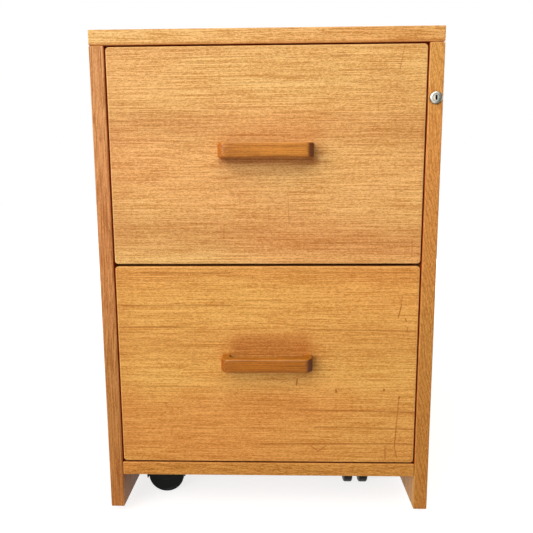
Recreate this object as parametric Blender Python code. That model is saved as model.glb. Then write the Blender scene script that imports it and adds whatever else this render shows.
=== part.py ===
"""Mobile two-drawer file cabinet in teak veneer, on four hooded twin-wheel casters.

Metres, +Z up. The front faces -Y and +X is on the right of someone who faces it. The origin lies
on the floor, under the middle of the cabinet with its handles.
"""

import math

import bmesh
import bpy
from mathutils import Matrix, Vector

# Cabinet boards
CABINET_WIDTH = 0.445
CABINET_DEPTH = 0.500
BOARD = 0.019
FLOOR_GAP = 0.0105
BACK_PANEL = 0.006
BACK_REBATE = 0.008
BOARD_EDGE = 0.0016
BOARD_EDGE_STEPS = 2
JOINT = 0.0003

# Drawer fronts
FRONT_HEIGHT = 0.2752
FRONT_THICKNESS = 0.019
FRONT_EDGE = 0.002
SIDE_GAP = 0.002
TOP_GAP = 0.002
MIDDLE_GAP = 0.003
BOTTOM_GAP = 0.0019

# Handles
HANDLE_LENGTH = 0.1215
HANDLE_HEIGHT = 0.0183
HANDLE_PROJECTION = 0.025
HANDLE_BAR = 0.0105
HANDLE_LEG = 0.012
HANDLE_OUTER_RADIUS = 0.012
HANDLE_INNER_RADIUS = 0.008
HANDLE_EDGE = 0.0024
HANDLE_RISE = 0.1462

# Handle screws
SCREW_RADIUS = 0.002
SCREW_HEAD_RADIUS = 0.004
SCREW_HEAD = 0.0024
SCREW_BITE = 0.012
SCREW_TAPER = 0.6
SCREW_CLEARANCE = 0.0004

# Drawer boxes
BOX_BOARD = 0.012
BOX_BOTTOM = 0.005
BOX_GROOVE = 0.006
BOX_GROOVE_RISE = 0.010
BOX_LIFT = 0.012
BOX_DROP = 0.020
REAR_CLEARANCE = 0.0217
RAIL_INSET = 0.0138
RAIL_THICKNESS = 0.003
RAIL_HEIGHT = 0.014
RAIL_PROUD = 0.004

# Drawer slides
SLIDE_WIDTH = 0.0127
SLIDE_HEIGHT = 0.045
SLIDE_SETBACK = 0.003
SLIDE_RISE = 0.105
SLIDE_SHEET = 0.0012
OUTER_BALL = 0.0037
INNER_BALL = 0.0030

# Lock and locking bar
LOCK_DROP = 0.0862
LOCK_FACE_RADIUS = 0.0082
LOCK_FACE = 0.0029
LOCK_DOME = ((0.30, 1.0), (0.62, 0.95), (0.84, 0.84), (0.97, 0.70))
LOCK_BARREL_RADIUS = 0.006
LOCK_BEHIND_FRONT = 0.003
LOCK_PLUG_RADIUS = 0.0042
LOCK_CAM = 0.0025
LOCK_THROW = 0.004
LOCK_PIN_RADIUS = 0.0012
LOCK_PIN = 0.0062
KEY_SLOT_WIDTH = 0.0015
KEY_SLOT_HEIGHT = 0.0064
KEY_SLOT_DEPTH = 0.006
BAR_WIDTH = 0.009
BAR_THICKNESS = 0.003
BAR_INSET = 0.0008
BAR_PRONG = 0.0025
BAR_CLEARANCE = 0.0004
BAR_TAIL = 0.035
BAR_PIN_SHANK_RADIUS = 0.0015
BAR_PIN_REACH = 0.007
CATCH_RISE = 0.165
CATCH_RADIUS = 0.0025
CATCH_REACH = 0.0077
CATCH_BITE = 0.009
LOCK_CLEARANCE = 0.00045
GUIDE_RISE = 0.142
GUIDE_HEIGHT = 0.012
GUIDE_PLATE = 0.0012
GUIDE_LAP = 0.0058
GUIDE_HEAD_RADIUS = 0.0024
GUIDE_HEAD = 0.0012

# Casters
WHEEL_RADIUS = 0.0265
WHEEL_WIDTH = 0.013
WHEEL_STEPS = 24
WHEEL_SIDE_GAP = 0.0005
WHEEL_RIM = 0.0035
WHEEL_DISH = 0.001
TREAD_EDGE = 0.0016
HUB_CAP_RADIUS = 0.0075
AXLE_RADIUS = 0.003
HOOD_RADIUS = 0.029
HOOD_WALL = 0.0016
HOOD_WEB = 0.009
HOOD_HUB_RADIUS = 0.008
HOOD_REAR_ANGLE = -8.0
HOOD_FRONT_ANGLE = 182.0
HOOD_HUB_ANGLES = (190.0, 350.0)
BOSS_RADIUS = 0.0075
BOSS_RISE = 0.0017
STEM_RADIUS = 0.004
STEM_LENGTH = 0.016
STEM_TAPER = 0.6
SOCKET_WALL = 0.0013
SOCKET_FLANGE = 0.0013
SOCKET_FLANGE_RADIUS = 0.0095
CASTER_TRAIL = 0.022
CASTER_INSET = 0.070
CASTER_SETBACK = 0.075
CASTER_TURNS = {"front_left": 180.0, "front_right": 90.0, "rear_left": 90.0, "rear_right": 90.0}

# Levels, counted up from the floor
CASTER_HEIGHT = WHEEL_RADIUS + HOOD_RADIUS + BOSS_RISE + SOCKET_FLANGE + 2 * JOINT
BOTTOM_TOP = CASTER_HEIGHT + BOARD
LOWER_FRONT_Z = BOTTOM_TOP + BOTTOM_GAP
UPPER_FRONT_Z = LOWER_FRONT_Z + FRONT_HEIGHT + MIDDLE_GAP
TOP_UNDERSIDE = UPPER_FRONT_Z + FRONT_HEIGHT + TOP_GAP
CABINET_HEIGHT = TOP_UNDERSIDE + BOARD
LOCK_Z = CABINET_HEIGHT - LOCK_DROP

# Places across and along the cabinet
HALF_WIDTH = CABINET_WIDTH / 2
INNER_X = HALF_WIDTH - BOARD
FRONT_Y = (HANDLE_PROJECTION - CABINET_DEPTH) / 2
BACK_Y = FRONT_Y + CABINET_DEPTH
BACK_INNER_Y = BACK_Y - BACK_PANEL
LOCK_X = HALF_WIDTH - BOARD / 2

# Drawer boxes, counted from a drawer front's own face and lower edge
BOX_START = FRONT_THICKNESS + JOINT
BOX_END = CABINET_DEPTH - BACK_PANEL - REAR_CLEARANCE
BOX_X = INNER_X - SLIDE_WIDTH
BOX_INNER_X = BOX_X - BOX_BOARD
BOX_TOP = FRONT_HEIGHT - BOX_DROP
BOX_FLOOR = BOX_LIFT + BOX_GROOVE_RISE
SLIDE_START = BOX_START + SLIDE_SETBACK
SCREW_X = (HANDLE_LENGTH - HANDLE_LEG) / 2
RAIL_SPACING = 2 * (BOX_INNER_X - RAIL_INSET)
RAIL_NOTCH = RAIL_HEIGHT - RAIL_PROUD

# The lock's crank pin goes from 45 degrees below its axis to 45 degrees above it
LOCK_BARREL = FRONT_THICKNESS + LOCK_BEHIND_FRONT
LOCK_TRAVEL = 2 * LOCK_THROW * math.sin(math.radians(45))
BAR_PIN_RADIUS = LOCK_TRAVEL - CATCH_RADIUS - LOCK_CLEARANCE
BORE_END = LOCK_BARREL + LOCK_CAM + 2 * JOINT
BAR_START = BORE_END + BAR_CLEARANCE
BAR_Y = BAR_START + BAR_WIDTH / 2
CATCH_Y = BAR_Y + BAR_PIN_RADIUS + LOCK_CLEARANCE + CATCH_RADIUS

COLOURS = {
    "teak_front": ((0.74, 0.36, 0.10), 0.42, 0.0),
    "teak_case": ((0.60, 0.26, 0.065), 0.45, 0.0),
    "teak_solid": ((0.50, 0.18, 0.035), 0.38, 0.0),
    "back_ply": ((0.42, 0.22, 0.09), 0.60, 0.0),
    "birch_ply": ((0.72, 0.55, 0.36), 0.55, 0.0),
    "zinc_steel": ((0.62, 0.63, 0.64), 0.35, 1.0),
    "bright_chrome": ((0.80, 0.80, 0.82), 0.12, 1.0),
    "black_nylon": ((0.010, 0.010, 0.011), 0.45, 0.0),
    "black_tread": ((0.013, 0.012, 0.012), 0.60, 0.0),
}


def clear_scene():
    for old in list(bpy.data.objects):
        bpy.data.objects.remove(old, do_unlink=True)


def finish(name):
    """The named material, made on first use."""
    made = bpy.data.materials.get(name)
    if made is None:
        colour, roughness, metallic = COLOURS[name]
        made = bpy.data.materials.new(name)
        made.use_nodes = True
        shader = made.node_tree.nodes["Principled BSDF"]
        shader.inputs["Base Color"].default_value = (*colour, 1.0)
        shader.inputs["Roughness"].default_value = roughness
        shader.inputs["Metallic"].default_value = metallic
        made.diffuse_color = (*colour, 1.0)
    return made


def frame_point(name, place, turn=0.0):
    """An empty that carries a group of pieces, turned about Z by a number of degrees."""
    empty = bpy.data.objects.new(name, None)
    empty.empty_display_size = 0.02
    empty.location = place
    empty.rotation_euler[2] = math.radians(turn)
    bpy.context.scene.collection.objects.link(empty)
    return empty


def piece(name, mesh, slot, carrier, place=(0.0, 0.0, 0.0), smooth=False):
    made = bpy.data.objects.new(name, mesh)
    made.location = place
    made.parent = carrier
    if slot and not mesh.materials:
        mesh.materials.append(finish(slot))
    if smooth:
        mesh.shade_smooth()
        mesh.set_sharp_from_angle(angle=math.radians(35))
    bpy.context.scene.collection.objects.link(made)
    return made


def mesh_from(name, shape):
    bmesh.ops.recalc_face_normals(shape, faces=shape.faces)
    mesh = bpy.data.meshes.new(name)
    shape.to_mesh(mesh)
    shape.free()
    return mesh


def block_mesh(name, size):
    shape = bmesh.new()
    bmesh.ops.create_cube(shape, size=1.0)
    bmesh.ops.scale(shape, vec=Vector(size), verts=shape.verts)
    return mesh_from(name, shape)


def prism_mesh(name, outline, start, end, along="Y"):
    """A closed outline carried from start to end along an axis.

    The outline is in (X, Z) when it runs along Y, in (X, Y) along Z, and in (Y, Z) along X.
    """
    into = {
        "Y": lambda a, b: (a, start, b),
        "Z": lambda a, b: (a, b, start),
        "X": lambda a, b: (start, a, b),
    }[along]
    step = {"Y": (0, end - start, 0), "Z": (0, 0, end - start), "X": (end - start, 0, 0)}[along]
    shape = bmesh.new()
    face = shape.faces.new([shape.verts.new(into(a, b)) for a, b in outline])
    swept = bmesh.ops.extrude_face_region(shape, geom=[face])["geom"]
    moved = [item for item in swept if isinstance(item, bmesh.types.BMVert)]
    bmesh.ops.translate(shape, verts=moved, vec=Vector(step))
    return mesh_from(name, shape)


def turned_mesh(name, profile, steps, axis="Y", closed=False, half_step=False):
    """A profile of (distance along the axis, radius) points spun round the axis.

    An open profile starts and ends on the axis. A closed one makes a ring.
    """
    shape = bmesh.new()
    points = [shape.verts.new((radius, 0.0, along)) for along, radius in profile]
    pairs = list(zip(points, points[1:]))
    if closed:
        pairs.append((points[-1], points[0]))
    edges = [shape.edges.new(pair) for pair in pairs]
    bmesh.ops.spin(shape, geom=points + edges, axis=(0, 0, 1), cent=(0, 0, 0), dvec=(0, 0, 0),
                   angle=math.tau, steps=steps, use_merge=False, use_duplicate=False)
    bmesh.ops.remove_doubles(shape, verts=shape.verts, dist=1e-6)
    if half_step:
        bmesh.ops.rotate(shape, verts=shape.verts, cent=(0, 0, 0),
                         matrix=Matrix.Rotation(math.pi / steps, 3, "Z"))
    if axis == "Y":
        # Z goes to Y and X to -Z, so the half step still puts a flat at the bottom.
        turn = Matrix(((0, 1, 0), (0, 0, 1), (1, 0, 0)))
        bmesh.ops.transform(shape, matrix=turn.to_4x4(), verts=shape.verts)
    elif axis == "X":
        turn = Matrix(((0, 0, 1), (1, 0, 0), (0, 1, 0)))
        bmesh.ops.transform(shape, matrix=turn.to_4x4(), verts=shape.verts)
    return mesh_from(name, shape)


def rod_mesh(name, radius, start, end, steps, axis="Y"):
    return turned_mesh(name, [(start, 0), (start, radius), (end, radius), (end, 0)], steps, axis)


def arc(centre, radius, start, end, steps):
    """Points on an arc, from one angle in degrees to another, both ends included."""
    angles = [math.radians(start + (end - start) * i / steps) for i in range(steps + 1)]
    return [(centre[0] + radius * math.cos(a), centre[1] + radius * math.sin(a)) for a in angles]


def ease(target, width, steps=1):
    """Rounds every edge that is sharper than 30 degrees."""
    bevel = target.modifiers.new("eased_edges", "BEVEL")
    bevel.width = width
    bevel.segments = steps
    bevel.limit_method = "ANGLE"
    bevel.angle_limit = math.radians(30)


def shape_with(target, tool, operation="DIFFERENCE"):
    """Cuts a hidden tool from the target, or joins it on."""
    tool.hide_render = True
    tool.display_type = "WIRE"
    boolean = target.modifiers.new(tool.name, "BOOLEAN")
    boolean.operation = operation
    boolean.object = tool


def block(name, x, y, z, slot, carrier, edge=0.0, steps=1):
    """A rectangular piece between three pairs of limits, with its origin at its middle."""
    size = (x[1] - x[0], y[1] - y[0], z[1] - z[0])
    middle = ((x[0] + x[1]) / 2, (y[0] + y[1]) / 2, (z[0] + z[1]) / 2)
    made = piece(name, block_mesh(name, size), slot, carrier, middle)
    if edge:
        ease(made, edge, steps)
    return made


def cut_block(target, name, x, y, z, carrier):
    shape_with(target, block(name, x, y, z, None, carrier))


def cut_rod(target, name, radius, span, place, carrier, axis="Y", steps=20):
    mesh = rod_mesh(name, radius, span[0], span[1], steps, axis)
    shape_with(target, piece(name, mesh, None, carrier, place))


def make_back_panel(cabinet):
    reach = INNER_X + BACK_REBATE
    block("back_panel", (-reach, reach), (BACK_INNER_Y, BACK_Y),
          (CASTER_HEIGHT, TOP_UNDERSIDE + BACK_REBATE), "back_ply", cabinet)


def cut_back_rebate(target, cabinet):
    """The step that the back panel lies in, a joint's width larger than the panel."""
    reach = INNER_X + BACK_REBATE + JOINT
    cut_block(target, target.name + "_rebate", (-reach, reach),
              (BACK_INNER_Y - JOINT, BACK_Y + BACK_PANEL),
              (CASTER_HEIGHT - JOINT, TOP_UNDERSIDE + BACK_REBATE + JOINT), cabinet)


def make_top(cabinet):
    top = block("top_panel", (-HALF_WIDTH, HALF_WIDTH), (FRONT_Y, BACK_Y),
                (TOP_UNDERSIDE, CABINET_HEIGHT), "teak_case", cabinet, BOARD_EDGE, BOARD_EDGE_STEPS)
    cut_back_rebate(top, cabinet)


def make_side(name, side, cabinet):
    """A side panel: side is -1 on the left and 1 on the right."""
    x = sorted((side * INNER_X, side * HALF_WIDTH))
    panel = block(name, x, (FRONT_Y, BACK_Y), (FLOOR_GAP, TOP_UNDERSIDE - JOINT),
                  "teak_case", cabinet, BOARD_EDGE, BOARD_EDGE_STEPS)
    cut_back_rebate(panel, cabinet)
    return panel


def make_bottom(cabinet, caster_places):
    half = INNER_X - JOINT
    bottom = block("bottom_panel", (-half, half), (FRONT_Y, BACK_INNER_Y - JOINT),
                   (CASTER_HEIGHT, BOTTOM_TOP), "teak_case", cabinet, BOARD_EDGE,
                   BOARD_EDGE_STEPS)
    for name, (x, y) in caster_places.items():
        cut_rod(bottom, "socket_hole_" + name, STEM_RADIUS + SOCKET_WALL + 3 * JOINT,
                (-BOARD, BOARD), (x, y, CASTER_HEIGHT + BOARD / 2), cabinet, "Z")


def cut_lock_mortise(panel, cabinet):
    """The lock's bore from the front edge, its pocket, and the locking bar's groove."""
    cut_rod(panel, "lock_bore", LOCK_BARREL_RADIUS + JOINT, (-BOARD, BORE_END),
            (LOCK_X, FRONT_Y, LOCK_Z), cabinet, steps=24)
    y = (FRONT_Y + BAR_START - BAR_CLEARANCE, FRONT_Y + BAR_START + BAR_WIDTH + BAR_CLEARANCE)
    pocket_half = LOCK_THROW + LOCK_PIN_RADIUS + 2 * BAR_CLEARANCE + BAR_PRONG + JOINT
    prong_end = BOARD / 2 - LOCK_THROW * math.cos(math.radians(45)) + 2 * LOCK_PIN_RADIUS
    cut_block(panel, "lock_pocket", (INNER_X - BOARD, INNER_X + prong_end + 2 * BAR_CLEARANCE), y,
              (LOCK_Z - pocket_half, LOCK_Z + pocket_half), cabinet)
    cut_block(panel, "bar_groove",
              (INNER_X - BOARD, INNER_X + BAR_INSET + BAR_THICKNESS + JOINT), y,
              (LOWER_FRONT_Z + CATCH_RISE - BAR_TAIL - LOCK_TRAVEL, LOCK_Z), cabinet)


def make_lock(cabinet):
    """The housing's face and barrel, and the plug with its crank pin. The origin is the axis."""
    carrier = frame_point("lock_axis", (LOCK_X, FRONT_Y, LOCK_Z))
    carrier.parent = cabinet
    bore = LOCK_PLUG_RADIUS + JOINT
    dome = [(-LOCK_FACE * part, LOCK_FACE_RADIUS * share)
            for part, share in LOCK_DOME]
    housing = ([(-JOINT, LOCK_BARREL_RADIUS), (-JOINT, LOCK_FACE_RADIUS)] + dome
               + [(-LOCK_FACE, bore), (LOCK_BARREL, bore), (LOCK_BARREL, LOCK_BARREL_RADIUS)])
    piece("lock_housing", turned_mesh("lock_housing", housing, 24, closed=True),
          "bright_chrome", carrier, smooth=True)

    cam_start, cam_end = LOCK_BARREL + JOINT, LOCK_BARREL + JOINT + LOCK_CAM
    plug_profile = [(-LOCK_FACE, 0), (-LOCK_FACE * 0.98, LOCK_PLUG_RADIUS * 0.6),
                    (-LOCK_FACE * 0.86, LOCK_PLUG_RADIUS), (cam_start, LOCK_PLUG_RADIUS),
                    (cam_start, LOCK_BARREL_RADIUS - JOINT), (cam_end, LOCK_BARREL_RADIUS - JOINT),
                    (cam_end, 0)]
    plug = piece("lock_plug", turned_mesh("lock_plug", plug_profile, 24), "bright_chrome",
                 carrier, smooth=True)
    swing = LOCK_THROW * math.sin(math.radians(45))
    pin = rod_mesh("crank_pin", LOCK_PIN_RADIUS, cam_end - LOCK_CAM / 2, cam_end + LOCK_PIN, 12)
    shape_with(plug, piece("crank_pin", pin, None, carrier, (-swing, 0, -swing)), "UNION")
    cut_block(plug, "key_slot", (-KEY_SLOT_WIDTH / 2, KEY_SLOT_WIDTH / 2),
              (-2 * LOCK_FACE, KEY_SLOT_DEPTH - LOCK_FACE),
              (-KEY_SLOT_HEIGHT / 2, KEY_SLOT_HEIGHT / 2), carrier)


def make_locking_bar(panel, cabinet):
    """The bar with its fork round the crank pin, its two pins and its two guide plates."""
    carrier = frame_point("bar_groove_face", (INNER_X, FRONT_Y, 0))
    carrier.parent = cabinet
    face = BAR_INSET
    back = BAR_INSET + BAR_THICKNESS
    swing = LOCK_THROW * math.sin(math.radians(45))
    pin_z = LOCK_Z - swing
    reach = BOARD / 2 - swing + 2 * LOCK_PIN_RADIUS
    slot = LOCK_PIN_RADIUS + BAR_CLEARANCE
    catch_levels = {"lower": LOWER_FRONT_Z + CATCH_RISE, "upper": UPPER_FRONT_Z + CATCH_RISE}
    low = catch_levels["lower"] - BAR_TAIL
    high = pin_z + slot + BAR_PRONG
    outline = [(face, low), (back, low), (back, pin_z - slot - BAR_PRONG),
               (reach, pin_z - slot - BAR_PRONG), (reach, pin_z - slot), (back, pin_z - slot),
               (back, pin_z + slot), (reach, pin_z + slot), (reach, high), (face, high)]
    bar = piece("locking_bar", prism_mesh("locking_bar", outline, BAR_START,
                                          BAR_START + BAR_WIDTH), "zinc_steel", carrier)

    head_start = face - JOINT
    pin_profile = [(-BAR_PIN_REACH, 0), (-BAR_PIN_REACH, BAR_PIN_RADIUS * 0.8),
                   (-BAR_PIN_REACH + BAR_PIN_RADIUS * 0.2, BAR_PIN_RADIUS),
                   (head_start, BAR_PIN_RADIUS), (head_start, BAR_PIN_SHANK_RADIUS),
                   (back - JOINT, BAR_PIN_SHANK_RADIUS), (back - JOINT, 0)]
    for name, level in catch_levels.items():
        place = (0, BAR_Y, level - LOCK_TRAVEL)
        cut_rod(bar, f"bar_pin_hole_{name}", BAR_PIN_SHANK_RADIUS + JOINT, (-BOARD, BOARD),
                place, carrier, "X", 12)
        piece(f"locking_pin_{name}", turned_mesh(f"locking_pin_{name}", pin_profile, 16, "X"),
              "zinc_steel", carrier, place, smooth=True)

    plate_y = (BAR_START - GUIDE_LAP, BAR_START + BAR_WIDTH + GUIDE_LAP)
    for name, front in (("lower", LOWER_FRONT_Z), ("upper", UPPER_FRONT_Z)):
        level = front + GUIDE_RISE
        guide = block(f"bar_guide_{name}", (-JOINT - GUIDE_PLATE, -JOINT), plate_y,
                      (level - GUIDE_HEIGHT / 2, level + GUIDE_HEIGHT / 2), "zinc_steel", carrier)
        for end, y in (("front", plate_y[0] + GUIDE_LAP / 2), ("rear", plate_y[1] - GUIDE_LAP / 2)):
            head_name = f"guide_head_{name}_{end}"
            head = rod_mesh(head_name, GUIDE_HEAD_RADIUS, -JOINT - GUIDE_PLATE - GUIDE_HEAD,
                            -JOINT - GUIDE_PLATE / 2, 12, "X")
            shape_with(guide, piece(head_name, head, None, carrier, (0, y, level)), "UNION")


def mirrored(outline, side):
    """The outline as drawn for the right side, or its mirror image for the left."""
    return outline if side > 0 else [(-x, z) for x, z in reversed(outline)]


def slide_outlines():
    """Sections of the three members for the right side.

    X is the distance from the side panel's inner face, negative towards the drawer box.
    """
    sheet = SLIDE_SHEET
    half = SLIDE_HEIGHT / 2
    middle_half = half - sheet - JOINT - OUTER_BALL
    drawer_half = middle_half - sheet - JOINT - INNER_BALL
    lip = -SLIDE_WIDTH + JOINT + sheet + 3 * JOINT
    web = -JOINT
    cabinet_member = [
        (web, -half), (web, half), (lip, half), (lip, half - 2 * sheet),
        (lip + sheet, half - 2 * sheet), (lip + sheet, half - sheet), (web - sheet, half - sheet),
        (web - sheet, sheet - half), (lip + sheet, sheet - half), (lip + sheet, 2 * sheet - half),
        (lip, 2 * sheet - half), (lip, -half)]

    web = -2 * sheet
    row = (SLIDE_WIDTH - OUTER_BALL) / 2
    middle_member = [
        (web, -middle_half), (web, middle_half), (-row, middle_half), (-row, half - sheet - JOINT),
        (-row - OUTER_BALL, half - sheet - JOINT), (-row - OUTER_BALL, middle_half),
        (lip, middle_half), (lip, middle_half - sheet), (web - sheet, middle_half - sheet),
        (web - sheet, sheet - middle_half), (lip, sheet - middle_half), (lip, -middle_half),
        (-row - OUTER_BALL, -middle_half), (-row - OUTER_BALL, JOINT + sheet - half),
        (-row, JOINT + sheet - half), (-row, -middle_half)]

    web = -SLIDE_WIDTH + JOINT
    edge = -SLIDE_WIDTH + 3 * INNER_BALL
    row = edge - INNER_BALL / 2
    race = middle_half - sheet - JOINT
    drawer_member = [
        (web, -drawer_half), (row - INNER_BALL, -drawer_half), (row - INNER_BALL, -race),
        (row, -race), (row, -drawer_half), (edge, -drawer_half), (edge, sheet - drawer_half),
        (web + sheet, sheet - drawer_half), (web + sheet, drawer_half - sheet),
        (edge, drawer_half - sheet), (edge, drawer_half), (row, drawer_half), (row, race),
        (row - INNER_BALL, race), (row - INNER_BALL, drawer_half), (web, drawer_half)]
    return {"cabinet": cabinet_member, "middle": middle_member, "drawer": drawer_member}


def make_slides(name, front_z, cabinet):
    sections = slide_outlines()
    for hand, side in (("left", -1), ("right", 1)):
        carrier = frame_point(f"{name}_slide_{hand}", (side * INNER_X, FRONT_Y, front_z + SLIDE_RISE))
        carrier.parent = cabinet
        for member, outline in sections.items():
            full = f"{name}_{hand}_{member}_member"
            mesh = prism_mesh(full, mirrored(outline, side), SLIDE_START, BOX_END)
            piece(full, mesh, "zinc_steel", carrier)


def handle_outline():
    """The handle from above: legs towards the drawer at Y = 0, the bar at -Y."""
    half = HANDLE_LENGTH / 2
    outer = HANDLE_OUTER_RADIUS
    inner = HANDLE_INNER_RADIUS
    bar_front = JOINT - HANDLE_PROJECTION
    bar_back = bar_front + HANDLE_BAR
    gap = half - HANDLE_LEG
    return ([(half, 0)]
            + arc((half - outer, bar_front + outer), outer, 0, -90, 6)
            + arc((outer - half, bar_front + outer), outer, -90, -180, 6)
            + [(-half, 0), (-gap, 0)]
            + arc((inner - gap, bar_back + inner), inner, 180, 270, 4)
            + arc((gap - inner, bar_back + inner), inner, -90, 0, 4)
            + [(gap, 0)])


def make_handle(name, carrier):
    mesh = prism_mesh(f"{name}_handle", handle_outline(), -HANDLE_HEIGHT / 2, HANDLE_HEIGHT / 2, "Z")
    handle = piece(f"{name}_handle", mesh, "teak_solid", carrier, (0, -JOINT, HANDLE_RISE),
                   smooth=True)
    ease(handle, HANDLE_EDGE, 3)
    return handle


def make_handle_screws(name, targets, carrier):
    """Two pan-head screws from inside the box, through both fronts and into the handle's legs."""
    head = FRONT_THICKNESS + 2 * JOINT + BOX_BOARD + JOINT
    tip = -JOINT - SCREW_BITE
    profile = [(tip, 0), (tip, SCREW_RADIUS * SCREW_TAPER), (tip + SCREW_RADIUS / 2, SCREW_RADIUS),
               (head, SCREW_RADIUS), (head, SCREW_HEAD_RADIUS),
               (head + SCREW_HEAD / 2, SCREW_HEAD_RADIUS),
               (head + SCREW_HEAD, SCREW_HEAD_RADIUS * SCREW_TAPER), (head + SCREW_HEAD, 0)]
    for hand, x in (("left", -SCREW_X), ("right", SCREW_X)):
        place = (x, 0, HANDLE_RISE)
        full = f"{name}_handle_screw_{hand}"
        piece(full, turned_mesh(full, profile, 12), "zinc_steel", carrier, place, smooth=True)
        for target in targets:
            cut_rod(target, f"{target.name}_screw_hole_{hand}", SCREW_RADIUS + SCREW_CLEARANCE,
                    (tip - SCREW_CLEARANCE, head + BOX_BOARD), place, carrier, steps=12)


def make_front(name, carrier):
    half = INNER_X - SIDE_GAP
    return block(f"{name}_drawer_front", (-half, half), (0, FRONT_THICKNESS), (0, FRONT_HEIGHT),
                 "teak_front", carrier, FRONT_EDGE, 3)


def make_box_sides(name, carrier):
    """Left and right sides, each a section with the bottom's groove carried along Y."""
    floor = BOX_FLOOR - JOINT
    ceiling = BOX_FLOOR + BOX_BOTTOM + JOINT
    section = [(BOX_X, BOX_LIFT), (BOX_X, BOX_TOP), (BOX_INNER_X, BOX_TOP), (BOX_INNER_X, ceiling),
               (BOX_INNER_X + BOX_GROOVE, ceiling), (BOX_INNER_X + BOX_GROOVE, floor),
               (BOX_INNER_X, floor), (BOX_INNER_X, BOX_LIFT)]
    made = {}
    for hand, side in (("left", -1), ("right", 1)):
        full = f"{name}_box_{hand}_side"
        mesh = prism_mesh(full, mirrored(section, side), BOX_START, BOX_END)
        made[hand] = piece(full, mesh, "birch_ply", carrier)
    return made


def make_box_ends(name, carrier):
    """The inner front and the back, grooved for the bottom and notched for the file rails."""
    half = BOX_INNER_X - JOINT
    ends = {"inner_front": (BOX_START, BOX_START + BOX_BOARD, 1),
            "box_back": (BOX_END - BOX_BOARD, BOX_END, -1)}
    made = {}
    for part, (near, far, inwards) in ends.items():
        face = far if inwards > 0 else near
        groove = face - inwards * BOX_GROOVE
        plain = near if inwards > 0 else far
        floor = BOX_FLOOR - JOINT
        ceiling = BOX_FLOOR + BOX_BOTTOM + JOINT
        section = [(plain, BOX_LIFT), (face, BOX_LIFT), (face, floor), (groove, floor),
                   (groove, ceiling), (face, ceiling), (face, BOX_TOP), (plain, BOX_TOP)]
        full = f"{name}_{part}"
        end = piece(full, prism_mesh(full, section, -half, half, "X"), "birch_ply", carrier)
        for hand, side in (("left", -1), ("right", 1)):
            notch = RAIL_THICKNESS / 2 + JOINT
            middle = side * RAIL_SPACING / 2
            cut_block(end, f"{full}_notch_{hand}", (middle - notch, middle + notch),
                      (near - BOX_BOARD, far + BOX_BOARD),
                      (BOX_TOP - RAIL_NOTCH - JOINT, BOX_TOP + RAIL_HEIGHT), carrier)
        made[part] = end
    return made


def make_box_bottom(name, carrier):
    reach = BOX_GROOVE - JOINT
    block(f"{name}_box_bottom", (-BOX_INNER_X - reach, BOX_INNER_X + reach),
          (BOX_START + BOX_BOARD - reach, BOX_END - BOX_BOARD + reach),
          (BOX_FLOOR, BOX_FLOOR + BOX_BOTTOM), "birch_ply", carrier)


def make_file_rails(name, carrier):
    for hand, side in (("left", -1), ("right", 1)):
        middle = side * RAIL_SPACING / 2
        block(f"{name}_file_rail_{hand}", (middle - RAIL_THICKNESS / 2, middle + RAIL_THICKNESS / 2),
              (BOX_START + JOINT, BOX_END - JOINT),
              (BOX_TOP - RAIL_NOTCH, BOX_TOP - RAIL_NOTCH + RAIL_HEIGHT), "zinc_steel", carrier)


def make_catch(name, box_side, carrier):
    """The pin in the box's right side that the locking bar's pin stops."""
    profile = [(-CATCH_BITE, 0), (-CATCH_BITE, CATCH_RADIUS), (CATCH_REACH - JOINT, CATCH_RADIUS),
               (CATCH_REACH, CATCH_RADIUS * 0.8), (CATCH_REACH, 0)]
    place = (BOX_X, CATCH_Y, CATCH_RISE)
    piece(f"{name}_catch_pin", turned_mesh(f"{name}_catch_pin", profile, 16, "X"), "zinc_steel",
          carrier, place, smooth=True)
    cut_rod(box_side, f"{name}_catch_hole", CATCH_RADIUS + JOINT, (-CATCH_BITE - JOINT, BOARD),
            place, carrier, "X", 16)


def make_drawer(name, front_z, cabinet):
    carrier = frame_point(f"{name}_drawer", (0, FRONT_Y, front_z))
    carrier.parent = cabinet
    front = make_front(name, carrier)
    handle = make_handle(name, carrier)
    sides = make_box_sides(name, carrier)
    ends = make_box_ends(name, carrier)
    make_box_bottom(name, carrier)
    make_file_rails(name, carrier)
    make_handle_screws(name, (front, handle, ends["inner_front"]), carrier)
    make_catch(name, sides["right"], carrier)


def caster_places():
    x = INNER_X - CASTER_INSET
    front, rear = FRONT_Y + CASTER_SETBACK, BACK_Y - CASTER_SETBACK
    return {"front_left": (-x, front), "front_right": (x, front),
            "rear_left": (-x, rear), "rear_right": (x, rear)}


def wheel_pair_mesh():
    """Two wheels on one axle, along Y. The radii are those of the flats between the steps."""
    inner = HOOD_WEB / 2 + WHEEL_SIDE_GAP
    outer = inner + WHEEL_WIDTH
    dish = outer - WHEEL_DISH
    half = [(inner, AXLE_RADIUS), (inner, WHEEL_RADIUS - TREAD_EDGE),
            (inner + TREAD_EDGE, WHEEL_RADIUS), (outer - TREAD_EDGE, WHEEL_RADIUS),
            (outer, WHEEL_RADIUS - TREAD_EDGE), (outer, WHEEL_RADIUS - WHEEL_RIM),
            (dish, WHEEL_RADIUS - WHEEL_RIM - WHEEL_DISH), (dish, HUB_CAP_RADIUS + WHEEL_DISH / 2),
            (outer - WHEEL_DISH / 3, HUB_CAP_RADIUS), (outer, 0)]
    stretch = 1 / math.cos(math.pi / WHEEL_STEPS)
    right = [(along, radius * stretch) for along, radius in half]
    left = [(-along, radius) for along, radius in reversed(right)]
    return turned_mesh("wheel_pair", left + right, WHEEL_STEPS, half_step=True)


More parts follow.
